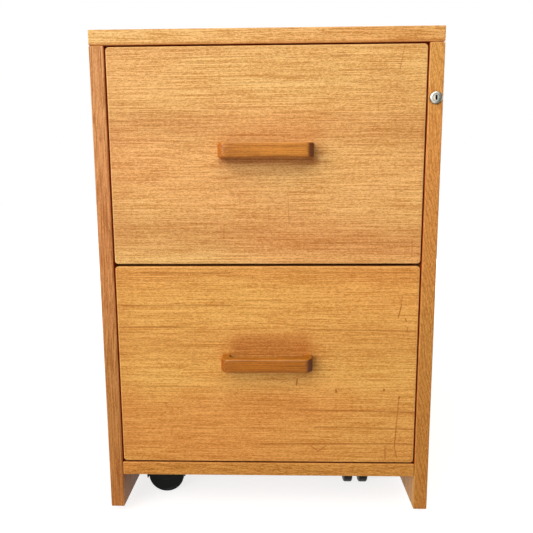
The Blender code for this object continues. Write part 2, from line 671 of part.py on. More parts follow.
def hood_mesh():
    """The caster's body: hood, web with the axle's hole, boss and stem.

    The origin is on the swivel axis at the floor, and the wheels trail towards +X.
    """
    carrier = frame_point("hood_tools", (0, 0, 0))
    axle = (CASTER_TRAIL, WHEEL_RADIUS)
    half = HOOD_WEB / 2 + WHEEL_SIDE_GAP + WHEEL_WIDTH + WHEEL_SIDE_GAP
    outline = (arc(axle, HOOD_RADIUS, HOOD_REAR_ANGLE, HOOD_FRONT_ANGLE, 25)
               + arc(axle, HOOD_HUB_RADIUS, *HOOD_HUB_ANGLES, 8))
    body = piece("hood_body", prism_mesh("hood_body", outline, -half, half), "black_nylon", carrier)
    body.hide_render = True

    boss_top = WHEEL_RADIUS + HOOD_RADIUS + BOSS_RISE
    stem_top = boss_top + JOINT + SOCKET_FLANGE + STEM_LENGTH
    stem_profile = [(WHEEL_RADIUS, 0), (WHEEL_RADIUS, BOSS_RADIUS), (boss_top, BOSS_RADIUS),
                    (boss_top, STEM_RADIUS),
                    (stem_top - STEM_RADIUS * (1 - STEM_TAPER), STEM_RADIUS),
                    (stem_top, STEM_RADIUS * STEM_TAPER), (stem_top, 0)]
    stem = turned_mesh("boss_and_stem", stem_profile, 20, "Z")
    shape_with(body, piece("boss_and_stem", stem, None, carrier), "UNION")
    bay = HOOD_RADIUS - HOOD_WALL
    for name, near, far in (("bay_a", HOOD_WEB / 2, 2 * half), ("bay_b", -2 * half, -HOOD_WEB / 2)):
        cut_rod(body, name, bay, (near, far), (axle[0], 0, axle[1]), carrier, steps=48)
    cut_rod(body, "axle_hole", AXLE_RADIUS + 2 * JOINT, (-half, half), (axle[0], 0, axle[1]),
            carrier, steps=24)
    bpy.context.view_layer.update()
    graph = bpy.context.evaluated_depsgraph_get()
    mesh = bpy.data.meshes.new_from_object(body.evaluated_get(graph))
    mesh.name = "caster_hood"
    return mesh


def socket_mesh():
    """A sleeve for the stem in the bottom panel, with a flange under the panel."""
    bore = STEM_RADIUS + 2 * JOINT
    outside = STEM_RADIUS + SOCKET_WALL + 2 * JOINT
    low = CASTER_HEIGHT - JOINT - SOCKET_FLANGE
    profile = [(low, bore), (low, SOCKET_FLANGE_RADIUS), (CASTER_HEIGHT - JOINT, SOCKET_FLANGE_RADIUS),
               (CASTER_HEIGHT - JOINT, outside), (BOTTOM_TOP - JOINT, outside),
               (BOTTOM_TOP - JOINT, bore)]
    return turned_mesh("caster_socket", profile, 16, "Z", closed=True)


def make_casters(places, cabinet):
    hood = hood_mesh()
    wheels = wheel_pair_mesh()
    socket = socket_mesh()
    for name, (x, y) in places.items():
        piece(f"caster_socket_{name}", socket, "zinc_steel", cabinet, (x, y, 0), smooth=True)
        swivel = frame_point(f"caster_{name}", (x, y, 0), CASTER_TURNS[name])
        swivel.parent = cabinet
        piece(f"caster_hood_{name}", hood, "black_nylon", swivel, smooth=True)
        piece(f"wheel_pair_{name}", wheels, "black_tread", swivel,
              (CASTER_TRAIL, 0, WHEEL_RADIUS), smooth=True)


def main():
    clear_scene()
    cabinet = frame_point("cabinet", (0, 0, 0))
    places = caster_places()
    make_top(cabinet)
    make_side("left_side_panel", -1, cabinet)
    right_side = make_side("right_side_panel", 1, cabinet)
    make_bottom(cabinet, places)
    make_back_panel(cabinet)
    cut_lock_mortise(right_side, cabinet)
    make_lock(cabinet)
    make_locking_bar(right_side, cabinet)
    for name, front_z in (("upper", UPPER_FRONT_Z), ("lower", LOWER_FRONT_Z)):
        make_drawer(name, front_z, cabinet)
        make_slides(name, front_z, cabinet)
    make_casters(places, cabinet)


main()
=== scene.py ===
"""Looks for the two-drawer file cabinet: finishes, finer pieces, floor, lamps and camera.

Metres, +Z up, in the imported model's frame: the drawers face -Y and the floor is at Z = 0.
"""
import math

import bpy
import numpy as np
from mathutils import Matrix, Vector


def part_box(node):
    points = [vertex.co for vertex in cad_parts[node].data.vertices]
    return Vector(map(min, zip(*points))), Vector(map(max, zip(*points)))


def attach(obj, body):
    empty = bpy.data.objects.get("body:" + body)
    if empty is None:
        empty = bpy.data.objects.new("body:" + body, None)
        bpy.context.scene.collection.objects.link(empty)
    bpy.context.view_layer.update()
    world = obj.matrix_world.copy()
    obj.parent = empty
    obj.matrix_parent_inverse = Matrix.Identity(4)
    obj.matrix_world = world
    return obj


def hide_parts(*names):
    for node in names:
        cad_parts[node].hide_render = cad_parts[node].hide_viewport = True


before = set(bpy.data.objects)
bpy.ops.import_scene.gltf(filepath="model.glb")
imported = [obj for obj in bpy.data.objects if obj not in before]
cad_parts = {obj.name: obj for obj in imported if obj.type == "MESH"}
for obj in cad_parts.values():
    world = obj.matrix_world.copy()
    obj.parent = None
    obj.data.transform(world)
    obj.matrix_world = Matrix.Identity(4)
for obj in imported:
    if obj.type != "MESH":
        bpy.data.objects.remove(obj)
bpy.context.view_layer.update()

# Camera, fitted to the straight edges of the photograph, which is 533 pixels square; its turns
# are in degrees, and the sensor is Blender's usual one, in millimetres
CAMERA_PLACE = (0.0188, -0.9505, 0.4614)
CAMERA_YAW = 1.52
CAMERA_PITCH = -8.49
CAMERA_ROLL = 0.30
FOCAL_PIXELS = 547.0
PHOTO_PIXELS = 533.0
SENSOR = 36.0
NEAREST_SEEN = 0.01

# Drawer fronts: how far the rounded edge and the corners reach, the flat beside the edge, and
# the thin seam where the lipping of the panel's edge starts
FRONT_EDGE = 0.0020
FRONT_CORNER = 0.0045
LEAST_CORNER = FRONT_CORNER / 8
EDGE_STEPS = 7
FLAT_SUPPORT = 0.0008
LIPPING = 0.0034
LIPPING_LINE = 0.0005

# Handles: how thick the bar is from front to back, and each leg from side to side
HANDLE_BAR = 0.0105
HANDLE_LEG = 0.012
HANDLE_OUTER_RADIUS = 0.012
HANDLE_INNER_RADIUS = 0.008
HANDLE_EDGE = 0.0024
BEND_STEPS = 20
BAR_STEPS = 12

# Lock: the dome starts a little past its rim and ends where the lip into the bore starts
LOCK_STEPS = 96
LOCK_FACE_RADIUS = 0.0082
LOCK_LIP_RADIUS = 0.0056
LOCK_LIP_EDGE = 0.0002
DOME_START = 0.12
DOME_STEPS = 12
LOCK_FACE = 0.0029
LOCK_BORE = 0.0045
LOCK_BARREL = 0.006
LOCK_JOINT = 0.0003
LOCK_END = 0.022
PLUG_EDGE = 0.0043
# The width and height of the key slot's painted shade on the chrome
KEY_SLOT = (0.0024, 0.0058)

# Casters: a hood's trail runs from its swivel axis to its wheels' axle, and its angles are in
# degrees round the axle, from the trail's direction upwards
SWIVEL_X = 0.1335
SWIVEL_Y = {"front": -0.1625, "rear": 0.1875}
WHEEL_RADIUS = 0.0265
WHEEL_INNER = 0.005
WHEEL_OUTER = 0.018
WHEEL_STEPS = 96
WHEEL_RIM = 0.0035
WHEEL_DISH = 0.001
TREAD_EDGE = 0.0016
WHEEL_EASE = 0.0011
HUB_CAP_RADIUS = 0.0075
HUB_CAP_FLAT = 0.6
AXLE_RADIUS = 0.003
AXLE_HOLE = 0.0036
HOOD_RADIUS = 0.029
HOOD_WALL = 0.0016
HOOD_WALL_ROUND = 0.9
HOOD_HALF = 0.0185
HOOD_WEB_HALF = 0.0045
HOOD_WEB_EASE = 0.12
HOOD_HUB_RADIUS = 0.008
HOOD_ANGLES = (-8.0, 182.0)
HUB_ANGLES = (190.0, 350.0)
HOOD_STEPS = 64
BOSS_RADIUS = 0.0075
BOSS_TOP = 0.0572
BOSS_EASE = 0.0006
BOSS_STEPS = 8
STEM_RADIUS = 0.004
STEM_TOP = 0.0748
STEM_TAPER = 0.6

# Mesh: points nearer than this are one, faces that meet at more degrees than this stay sharp,
# and a corner's curve has so many points and takes at most this share of the side beside it
SAME_POINT = 1e-6
SHARP_ANGLE = 38.0
EASE_STEPS = 5
WIDE_EASE_STEPS = 4
EASE_SHARE = 0.49


def setup_camera():
    """The camera at the photograph's place: yaw, then pitch, then roll, from level along +Y."""
    lens = bpy.data.cameras.new("photo_camera")
    lens.sensor_width = SENSOR
    lens.lens = SENSOR * FOCAL_PIXELS / PHOTO_PIXELS
    lens.clip_start = NEAREST_SEEN
    camera = bpy.data.objects.new("photo_camera", lens)
    aim = (Matrix.Rotation(math.radians(CAMERA_YAW), 4, "Z")
           @ Matrix.Rotation(math.radians(CAMERA_PITCH), 4, "X")
           @ Matrix.Rotation(math.radians(CAMERA_ROLL), 4, "Y")
           @ Matrix.Rotation(math.radians(90), 4, "X"))
    camera.matrix_world = Matrix.Translation(CAMERA_PLACE) @ aim
    bpy.context.scene.collection.objects.link(camera)
    bpy.context.scene.camera = camera


# Surfaces

def weld(grid, rows_join):
    """Quads between a grid's neighbouring rows and columns, with equal points made one.

    The last column joins the first. A row whose points are all one closes as a pole, because a
    quad with two equal corners becomes a triangle and one with fewer than three is dropped.
    """
    rows, columns, _ = grid.shape
    start = np.arange(rows if rows_join else rows - 1)[:, None] * columns
    after = (start + columns) % (rows * columns)
    column = np.arange(columns)[None, :]
    beside = (column + 1) % columns
    quads = np.stack([start + column, start + beside, after + beside, after + column], axis=-1)
    points = grid.reshape(-1, 3)
    keys = np.round(points / SAME_POINT).astype(np.int64)
    _, first, same = np.unique(keys, axis=0, return_index=True, return_inverse=True)
    quads = same.reshape(-1)[quads.reshape(-1, 4)]
    equal = quads == np.roll(quads, -1, axis=1)
    whole = quads[equal.sum(axis=1) == 0]
    single = equal.sum(axis=1) == 1
    corners = [np.delete(quads[single & equal[:, i]], i, axis=1) for i in range(4)]
    return points[first], whole, np.concatenate(corners)


def outward(points, quads, triangles):
    """Turns the faces round if the volume that they enclose comes out negative."""
    split = np.concatenate([quads[:, [0, 1, 2]], quads[:, [0, 2, 3]], triangles])
    a, b, c = (points[split[:, i]] for i in range(3))
    if np.einsum("ij,ij->i", a, np.cross(b, c)).sum() < 0:
        return quads[:, ::-1], triangles[:, ::-1]
    return quads, triangles


def add_piece(name, shells, material, body, stands_for):
    """Makes one object of closed shells, each a grid and whether its last row joins its first."""
    points, faces, count = [], [], 0
    for grid, rows_join in shells:
        welded, quads, triangles = weld(np.asarray(grid, dtype=float), rows_join)
        for corners in outward(welded, quads, triangles):
            faces += (corners + count).tolist()
        points.append(welded)
        count += len(welded)
    mesh = bpy.data.meshes.new(name)
    mesh.from_pydata(np.concatenate(points).tolist(), [], faces)
    mesh.shade_smooth()
    mesh.set_sharp_from_angle(angle=math.radians(SHARP_ANGLE))
    mesh.materials.append(material)
    piece = bpy.data.objects.new(name, mesh)
    bpy.context.scene.collection.objects.link(piece)
    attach(piece, body)
    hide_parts(stands_for)


def capped(grid):
    """The grid with a pole before its first row and past its last, at the middle of each."""
    poles = [np.broadcast_to(grid[i].mean(axis=0), grid[i].shape) for i in (0, -1)]
    return np.concatenate([poles[0][None], grid, poles[1][None]])


def eased(profile, radius, steps=EASE_STEPS):
    """An open line of points with each inner corner swapped for a parabola between points up
    to the radius away from it, or a little under half of the shorter side beside it."""
    profile = np.asarray(profile, dtype=float)
    share = np.linspace(0.0, 1.0, steps)[:, None]
    made = [profile[:1]]
    for before, corner, after in zip(profile, profile[1:], profile[2:]):
        sides = [np.linalg.norm(before - corner), np.linalg.norm(after - corner)]
        reach = min(radius, EASE_SHARE * min(sides))
        start = corner + (before - corner) * reach / sides[0]
        end = corner + (after - corner) * reach / sides[1]
        made.append((1 - share) ** 2 * start + 2 * share * (1 - share) * corner + share ** 2 * end)
    return np.concatenate(made + [profile[-1:]])


def turned(profile, steps, centre, axis):
    """A line of (along, radius) points carried round an axis through the centre."""
    along, radius = np.asarray(profile, dtype=float).T
    angle = np.linspace(0.0, 2 * math.pi, steps, endpoint=False)
    grid = np.zeros((len(along), steps, 3))
    first, second = [i for i in range(3) if i != axis]
    grid[..., axis] = along[:, None]
    grid[..., first] = radius[:, None] * np.cos(angle)
    grid[..., second] = radius[:, None] * np.sin(angle)
    return grid + np.asarray(centre)


def rounded_loop(half_x, half_z, radius, steps):
    """Round a rectangle with round corners: each corner's middle plus the radius times the
    direction, with the quarter turns one after another."""
    quarter = np.linspace(0.0, math.pi / 2, steps)
    angle = (quarter[None, :] + np.arange(4)[:, None] * math.pi / 2).ravel()
    side_x = np.repeat([1.0, -1.0, -1.0, 1.0], steps) * (half_x - radius)
    side_z = np.repeat([1.0, 1.0, -1.0, -1.0], steps) * (half_z - radius)
    return np.stack([side_x + radius * np.cos(angle), side_z + radius * np.sin(angle)], axis=-1)


def front_grid(node):
    """A drawer front: loops like its outline, drawn in by the rounded edge's sine and cosine
    near both faces, then once more for the flat, and closed at the middle of each face."""
    low, high = (np.array(corner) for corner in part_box(node))
    middle, half = (low + high) / 2, (high - low) / 2
    turn = np.linspace(0.0, math.pi / 2, EDGE_STEPS)
    inset = FRONT_EDGE * (1 - np.sin(turn))
    depth = FRONT_EDGE * (1 - np.cos(turn))
    inset = np.concatenate([[FRONT_EDGE + FLAT_SUPPORT], inset])
    depth = np.concatenate([[0.0], depth])
    inset = np.concatenate([inset, inset[::-1]])
    depth = np.concatenate([low[1] + depth, high[1] - depth[::-1]])
    rows = []
    for drawn_in, along in zip(inset, depth):
        radius = max(FRONT_CORNER - drawn_in, LEAST_CORNER)
        loop = rounded_loop(half[0] - drawn_in, half[2] - drawn_in, radius, EDGE_STEPS)
        rows.append(np.stack([loop[:, 0] + middle[0], np.full(len(loop), along),
                              loop[:, 1] + middle[2]], axis=-1))
    poles = [np.broadcast_to([middle[0], along, middle[2]], rows[0].shape)
             for along in depth[[0, -1]]]
    return np.stack([poles[0], *rows, poles[1]])


def handle_line(reach, projection, leg, bar, radius):
    """Half of a handle's outline from above, from the drawer to the bar's middle: up the leg,
    a quarter turn, and along the bar. Leg and bar are how far it lies inside the outer one."""
    share = np.linspace(0.0, 1.0, BAR_STEPS)
    turn = np.linspace(0.0, math.pi / 2, BEND_STEPS)
    side, face = -reach + leg, -projection + bar
    up = np.stack([np.full(BAR_STEPS, side), share * (face + radius)], axis=-1)
    bend = np.stack([side + radius * (1 - np.cos(turn)),
                     face + radius * (1 - np.sin(turn))], axis=-1)
    along = np.stack([(side + radius) * (1 - share), np.full(BAR_STEPS, face)], axis=-1)
    return np.concatenate([up, bend[1:], along[1:]])


def handle_grid(node):
    """A rounded rectangle carried along the handle: across, it spans from the inner line to the
    outer one, and it is the handle's height in Z. Both ends close at their middles."""
    low, high = (np.array(corner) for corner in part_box(node))
    middle, half = (low + high) / 2, (high - low) / 2
    projection = high[1] - low[1]
    outer = handle_line(half[0], projection, 0.0, 0.0, HANDLE_OUTER_RADIUS)
    inner = handle_line(half[0], projection, HANDLE_LEG, HANDLE_BAR, HANDLE_INNER_RADIUS)
    outer, inner = (np.concatenate([line, line[-2::-1] * (-1.0, 1.0)]) for line in (outer, inner))
    width = np.linalg.norm(outer - inner, axis=1)[:, None]
    section = rounded_loop(HANDLE_EDGE, half[2], HANDLE_EDGE, EDGE_STEPS)
    far = np.repeat([1.0, 0.0, 0.0, 1.0], EDGE_STEPS)
    across = (section[:, 0] + HANDLE_EDGE + far * (width - 2 * HANDLE_EDGE)) / width
    plan = inner[:, None, :] + across[..., None] * (outer - inner)[:, None, :]
    grid = np.empty((*across.shape, 3))
    grid[..., 0] = middle[0] + plan[..., 0]
    grid[..., 1] = high[1] + plan[..., 1]
    grid[..., 2] = middle[2] + section[:, 1]
    return capped(grid)


def lock_grid(node):
    """The lock's domed ring and barrel: its half section carried round, and closed on itself.
    The dome is part of an ellipse: forwards with the sine, inwards with 1 minus the cosine."""
    low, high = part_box(node)
    face = high[1] - LOCK_END
    inwards = LOCK_FACE_RADIUS - LOCK_LIP_RADIUS
    dome = [(-LOCK_FACE * math.sin(t), LOCK_FACE_RADIUS - inwards * (1 - math.cos(t)))
            for t in np.linspace(DOME_START, math.pi / 2, DOME_STEPS)]
    lip = eased([dome[-1], (-LOCK_FACE, LOCK_BORE), (LOCK_END, LOCK_BORE)], LOCK_LIP_EDGE)
    barrel = [(LOCK_END, LOCK_BARREL), (-LOCK_JOINT, LOCK_BARREL), (-LOCK_JOINT, LOCK_FACE_RADIUS)]
    profile = np.concatenate([barrel, dome, lip[1:]])
    centre = ((low[0] + high[0]) / 2, face, (low[2] + high[2]) / 2)
    return turned(profile, LOCK_STEPS, centre, 1)


def wheel_grid(node):
    """Two wheels and their axle: one half section, mirrored, carried round the axle."""
    low, high = (np.array(corner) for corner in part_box(node))
    dish = WHEEL_OUTER - WHEEL_DISH
    tread = WHEEL_RADIUS - WHEEL_RIM
    flank = WHEEL_RADIUS - TREAD_EDGE
    half = [(0.0, AXLE_RADIUS), (WHEEL_INNER, AXLE_RADIUS), (WHEEL_INNER, flank),
            (WHEEL_INNER + TREAD_EDGE, WHEEL_RADIUS), (WHEEL_OUTER - TREAD_EDGE, WHEEL_RADIUS),
            (WHEEL_OUTER, flank), (WHEEL_OUTER, tread),
            (dish, tread - WHEEL_DISH), (dish, HUB_CAP_RADIUS + 2 * WHEEL_DISH),
            (dish, HUB_CAP_RADIUS + WHEEL_DISH / 2), (WHEEL_OUTER - WHEEL_DISH / 4, HUB_CAP_RADIUS),
            (WHEEL_OUTER, HUB_CAP_RADIUS * HUB_CAP_FLAT), (WHEEL_OUTER, 0.0)]
    half = eased(half, WHEEL_EASE, WIDE_EASE_STEPS)
    profile = np.concatenate([half[::-1] * (-1.0, 1.0), half[1:]])
    return turned(profile, WHEEL_STEPS, (low + high) / 2, int(np.argmin(high - low)))


def caster_frame(name):
    """The swivel axis at the floor, the trail's direction, the axle's, and the trail."""
    low, high = (np.array(corner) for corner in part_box(f"wheel_pair_{name}"))
    end, hand = name.split("_")
    axis = np.array([SWIVEL_X if hand == "right" else -SWIVEL_X, SWIVEL_Y[end], 0.0])
    lead = (low + high) / 2 - axis
    lead[2] = 0.0
    trail = np.linalg.norm(lead)
    lead /= trail
    return axis, lead, np.array([-lead[1], lead[0], 0.0]), trail


def placed(along, aside, up, place):
    """Points from their distances along the trail, along the axle and up."""
    axis, lead, axle, _ = place
    level = axis + along[..., None] * lead + aside[..., None] * axle
    return level + up[..., None] * np.array([0.0, 0.0, 1.0])


def fender_grid(place):
    """The hood's cover: a thin rounded rectangle carried over the wheels on an arc about the
    axle, closed at the middle of each end."""
    trail = place[3]
    angle = np.radians(np.linspace(*HOOD_ANGLES, HOOD_STEPS))[:, None]
    wall = HOOD_WALL / 2
    loop = rounded_loop(HOOD_HALF, wall, wall * HOOD_WALL_ROUND, EDGE_STEPS)
    radius = HOOD_RADIUS - wall + loop[:, 1]
    aside = np.broadcast_to(loop[:, 0], (HOOD_STEPS, len(loop)))
    along, up = trail + radius * np.cos(angle), WHEEL_RADIUS + radius * np.sin(angle)
    return capped(placed(along, aside, up, place))


def web_grid(place):
    """The hood's middle wall: a flat ring from the axle's hole to the cover and the hub's round
    underside, with its outer rim eased."""
    trail = place[3]
    angle = np.linspace(HOOD_ANGLES[0], HOOD_ANGLES[0] + 360.0, 2 * HOOD_STEPS, endpoint=False)
    corners = [HOOD_ANGLES[0], HOOD_ANGLES[1], *HUB_ANGLES, HOOD_ANGLES[0] + 360.0]
    cover = HOOD_RADIUS - HOOD_WALL / 2
    reach = np.interp(angle, corners, [cover, cover, HOOD_HUB_RADIUS, HOOD_HUB_RADIUS, cover])
    section = eased([(-1, 0.0), (-1, 1.0), (1, 1.0), (1, 0.0)], HOOD_WEB_EASE)
    aside, share = section.T
    angle = np.radians(angle)
    radius = AXLE_HOLE + share[:, None] * (reach - AXLE_HOLE)
    aside = np.broadcast_to(aside[:, None] * HOOD_WEB_HALF, radius.shape)
    along, up = trail + radius * np.cos(angle), WHEEL_RADIUS + radius * np.sin(angle)
    return placed(along, aside, up, place)


def boss_grid(place):
    """The hood's boss and stem: upright, round the swivel axis. The underside of the boss keeps
    clear of the wheels: its height is that of the bay's circle round the axle."""
    trail = place[3]
    angle = np.linspace(0.0, 2 * math.pi, HOOD_STEPS, endpoint=False)
    share = np.linspace(0.0, 1.0, BOSS_STEPS)[:, None]
    along = share * BOSS_RADIUS * np.cos(angle)
    aside = share * BOSS_RADIUS * np.sin(angle)
    bay = HOOD_RADIUS - HOOD_WALL
    up = WHEEL_RADIUS + np.sqrt(np.maximum(bay ** 2 - (trail - along) ** 2, 0.0))
    taper_from = STEM_TOP - STEM_RADIUS * (1 - STEM_TAPER)
    upper = eased([(WHEEL_RADIUS + HOOD_RADIUS - HOOD_WALL, BOSS_RADIUS), (BOSS_TOP, BOSS_RADIUS),
                   (BOSS_TOP, STEM_RADIUS), (taper_from, STEM_RADIUS),
                   (STEM_TOP, STEM_RADIUS * STEM_TAPER), (STEM_TOP, 0.0)],
                  BOSS_EASE, WIDE_EASE_STEPS)
    heights, radii = upper[:, :1], upper[:, 1:]
    rest = placed(radii * np.cos(angle), radii * np.sin(angle), heights + 0 * angle, place)
    return np.concatenate([placed(along, aside, up, place), rest])


# Finishes

class Value:
    """A shader socket on which Python's operators work: each adds its Math node."""

    def __init__(self, recipe, socket):
        self.recipe = recipe
        self.socket = socket

    def __add__(self, other):
        return self.recipe.maths("ADD", self, other)

    def __sub__(self, other):
        return self.recipe.maths("SUBTRACT", self, other)

    def __rsub__(self, other):
        return self.recipe.maths("SUBTRACT", other, self)

    def __mul__(self, other):
        return self.recipe.maths("MULTIPLY", self, other)

    def __abs__(self):
        return self.recipe.maths("ABSOLUTE", self)

    __radd__ = __add__
    __rmul__ = __mul__


class Recipe:
    """The nodes of one material, or of the world."""

    def __init__(self, owner, shader="Principled BSDF"):
        owner.use_nodes = True
        self.owner = owner
        self.tree = owner.node_tree
        self.shader = self.tree.nodes[shader]

    def feed(self, socket, value):
        if isinstance(value, Value):
            self.tree.links.new(value.socket, socket)
        else:
            socket.default_value = value

    def node(self, kind, settings=None, sockets=None, output=0):
        """Adds a node: its settings first, then the value or link of each socket."""
        made = self.tree.nodes.new(kind)
        for name, value in (settings or {}).items():
            setattr(made, name, value)
        for name, value in (sockets or {}).items():
            self.feed(made.inputs[name], value)
        return Value(self, made.outputs[output])

    def maths(self, operation, *values):
        return self.node("ShaderNodeMath", {"operation": operation}, dict(enumerate(values)))

    def vector(self, operation, *values):
        output = 1 if operation in ("LENGTH", "DISTANCE", "DOT_PRODUCT") else 0
        return self.node("ShaderNodeVectorMath", {"operation": operation},
                         dict(enumerate(values)), output)

    def mix(self, amount, first, second):
        """A colour between two others, which are a Mix node's sockets 6 and 7."""
        colours = [c if isinstance(c, Value) else (*c, 1.0) for c in (first, second)]
        return self.node("ShaderNodeMix", {"data_type": "RGBA"},
                         {0: amount, 6: colours[0], 7: colours[1]}, 2)

    def tint(self, amount, colour, tint):
        """A colour with each of its parts taken, by the amount, towards its share of the tint."""
        return self.mix(amount, colour, self.vector("MULTIPLY", colour, tint))

    def ramp(self, value, start, end, low=0.0, high=1.0):
        """Low up to the start, high past the end, and a smooth step between; the start may be
        the higher of the two."""
        return self.node("ShaderNodeMapRange", {"interpolation_type": "SMOOTHSTEP"},
                         {"Value": value, "From Min": start, "From Max": end,
                          "To Min": low, "To Max": high})

    def shown(self, value, name):
        """The ramp of that name in the table of ramps."""
        return self.ramp(value, *RAMPS[name])

    def point(self, turn=(0.0, 0.0, 0.0), shift=(0.0, 0.0, 0.0)):
        """The place on the piece, turned by degrees and shifted."""
        place = self.node("ShaderNodeTexCoord", output="Object")
        return self.node("ShaderNodeMapping", None, {
            "Vector": place, "Rotation": [math.radians(a) for a in turn], "Location": shift})

    def about_grain(self, point):
        """The point turned about the grain's axis, so that no face lies along the noise's lattice,
        which would show as patches."""
        return self.node("ShaderNodeMapping", None, {
            "Vector": point, "Rotation": (math.radians(LATTICE_TURN), 0.0, 0.0)})

    def axes(self, point):
        """A vector's three parts."""
        split = self.node("ShaderNodeSeparateXYZ", None, {0: point})
        outputs = split.socket.node.outputs
        return [Value(self, outputs[i]) for i in range(3)]

    def facing(self):
        """The three parts of the direction in which the surface faces."""
        return self.axes(self.node("ShaderNodeTexCoord", output="Normal"))

    def join(self, *parts):
        """A vector of three parts."""
        return self.node("ShaderNodeCombineXYZ", None, dict(enumerate(parts)))

    def noise(self, point, scales, detail=2.0, roughness=0.5):
        """Noise from -1 to 1 about 0, with so many features to the metre along each axis."""
        stretched = self.vector("MULTIPLY", point, scales)
        raw = self.node("ShaderNodeTexNoise", {"noise_dimensions": "3D"}, {
            "Vector": stretched, "Scale": 1.0, "Detail": detail, "Roughness": roughness})
        return (raw - 0.5) * 2.0

    def layer(self, point, name):
        """The noise of that name in the table of layers."""
        return self.noise(point, *LAYERS[name])

    def bump(self, height, distance, strength):
        normal = self.node("ShaderNodeBump", None, {
            "Height": height, "Distance": distance, "Strength": strength})
        self.feed(self.shader.inputs["Normal"], normal)

    def finish(self, colour, roughness, metallic=0.0, specular=0.5):
        """Feeds the shader, and gives the finished material."""
        self.feed(self.shader.inputs["Base Color"],
                  colour if isinstance(colour, Value) else (*colour, 1.0))
        self.feed(self.shader.inputs["Roughness"], roughness)
        self.shader.inputs["Metallic"].default_value = metallic
        self.shader.inputs["Specular IOR Level"].default_value = specular
        return self.owner


def new_recipe(name):
    return Recipe(bpy.data.materials.new(name))


def tinted(colour, tint):
    """A colour's three parts, each times its share of the tint."""
    return [part * share for part, share in zip(colour, tint)]


def weighted(weights, *layers):
    """The first weight, plus each other one times its layer."""
    total = weights[0]
    for weight, layer in zip(weights[1:], layers):
        total = total + weight * layer
    return total


def seeded(finish, seed):
    """How far a finish's pattern is shifted, so that pieces show different parts of it."""
    return [seed * share for share in PATTERN_SHIFTS[finish]]


# Turns, in degrees, that bring a piece's grain along X, and the turn of the noise about it
GRAIN_TURN = {"X": (0.0, 0.0, 0.0), "Y": (0.0, 0.0, -90.0), "Z": (0.0, 90.0, 0.0)}
LATTICE_TURN = 31.7
PATTERN_SHIFTS = {"teak": (1.7, 0.6, 1.1), "birch": (1.3, 0.7, 0.9), "zinc": (1.0, 0.5, 0.3),
                  "nylon": (1.0, 0.4, 0.7)}
SEEDS = {"zinc_slides": 21.0, "zinc_bar": 22.0, "zinc_fasteners": 23.0, "black_nylon": 31.0,
         "black_tread": 32.0}

# Noise layers: features to the metre along the grain and in the two directions across it, then
# octaves of finer detail and how rough they are, where they aren't the usual ones
LAYERS = {
    "drift": ((2.5, 8, 8), 1),
    "ripple": ((38, 60, 60), 2),
    "edge_bend": ((6, 6, 6), 1),
    "bands": ((1.4, 34, 34), 1),
    "middle_lines": ((4, 160, 160), 1),
    "lines": ((7, 520, 520), 1),
    "hairs": ((14, 1050, 1050), 1),
    "fibres": ((230, 850, 850), 0),
    "short_fibres": ((540, 950, 950), 0),
    "sheen": ((48, 105, 105), 3, 0.6),
    "long_lines": ((1.6, 430, 430), 1),
    "pores": ((95, 700, 700), 1),
    "ring_wobble": ((9, 60, 60), 1),
    "rosy": ((3.5, 7, 7), 1),
    "birch_clouds": ((2.5, 14, 14), 3, 0.6),
    "birch_lines": ((12, 260, 260), 4, 0.6),
    "birch_flecks": ((140, 900, 900), 1),
    "zinc_streaks": ((20, 1600, 1600), 3, 0.6),
    "zinc_cast": ((14, 40, 40), 2),
    "zinc_spots": ((260, 260, 260), 3, 0.6),
    "fingermarks": ((160, 160, 160), 3, 0.6),
    "chrome_hairs": ((300, 300, 6000), 2, 0.6),
    "nylon_grain": ((2200, 2200, 2200), 2, 0.6),
    "nylon_clouds": ((60, 60, 60), 3, 0.6),
    "nylon_scuffs": ((90, 700, 700), 3, 0.6),
}

# Ramps: where a value starts to show and where it shows in full, then how much it shows at
# either end where that isn't 0 and 1
RAMPS = {
    "front_edge": (-0.6, -0.8),
    "rings": (0.60, 0.0, -0.10, 0.42),
    "ring_breaks": (-0.7, 0.3, 0.3, 1.0),
    "rosy": (-0.3, 0.4),
    "depth": (-0.25, 1.25),
    "pores": (0.25, 0.55),
    "fingered": (0.45, 0.90),
    "foot_shade": (0.62, 0.05),
    "right_end": (0.04, 0.17),
    "line_breaks": (-0.6, 0.3, 0.45, 1.0),
    "seam_breaks": (-0.5, 0.4, 0.2, 1.0),
    "birch_depth": (0.0, 1.0),
    "birch_flecks": (0.5, 0.75, 0.0, 0.35),
    "birch_pits": (0.5, 0.75),
    "glue": (0.14, 0.02, 0.0, 0.5),
    "plies": (0.45, 0.55),
    "ply_lines": (-0.2, 0.6, 0.0, 0.3),
    "ply_face": (0.4, 0.6),
    "birch_edge": (0.0012, 0.0, 0.0, 0.3),
    "zinc_cast": (-0.5, 0.5),
    "zinc_dull": (0.25, 0.6),
    "fingermarks": (-0.4, 0.5),
    "smudges": (0.15, 0.5, 0.0, 0.6),
    "chrome_shade": (0.0035, 0.0105),
    "plug_ring": (0.0005, 0.0),
    "chrome_scratches": (0.3, 0.6),
    "nylon_clouds": (-0.5, 0.6),
    "nylon_scuffs": (0.35, 0.7),
}
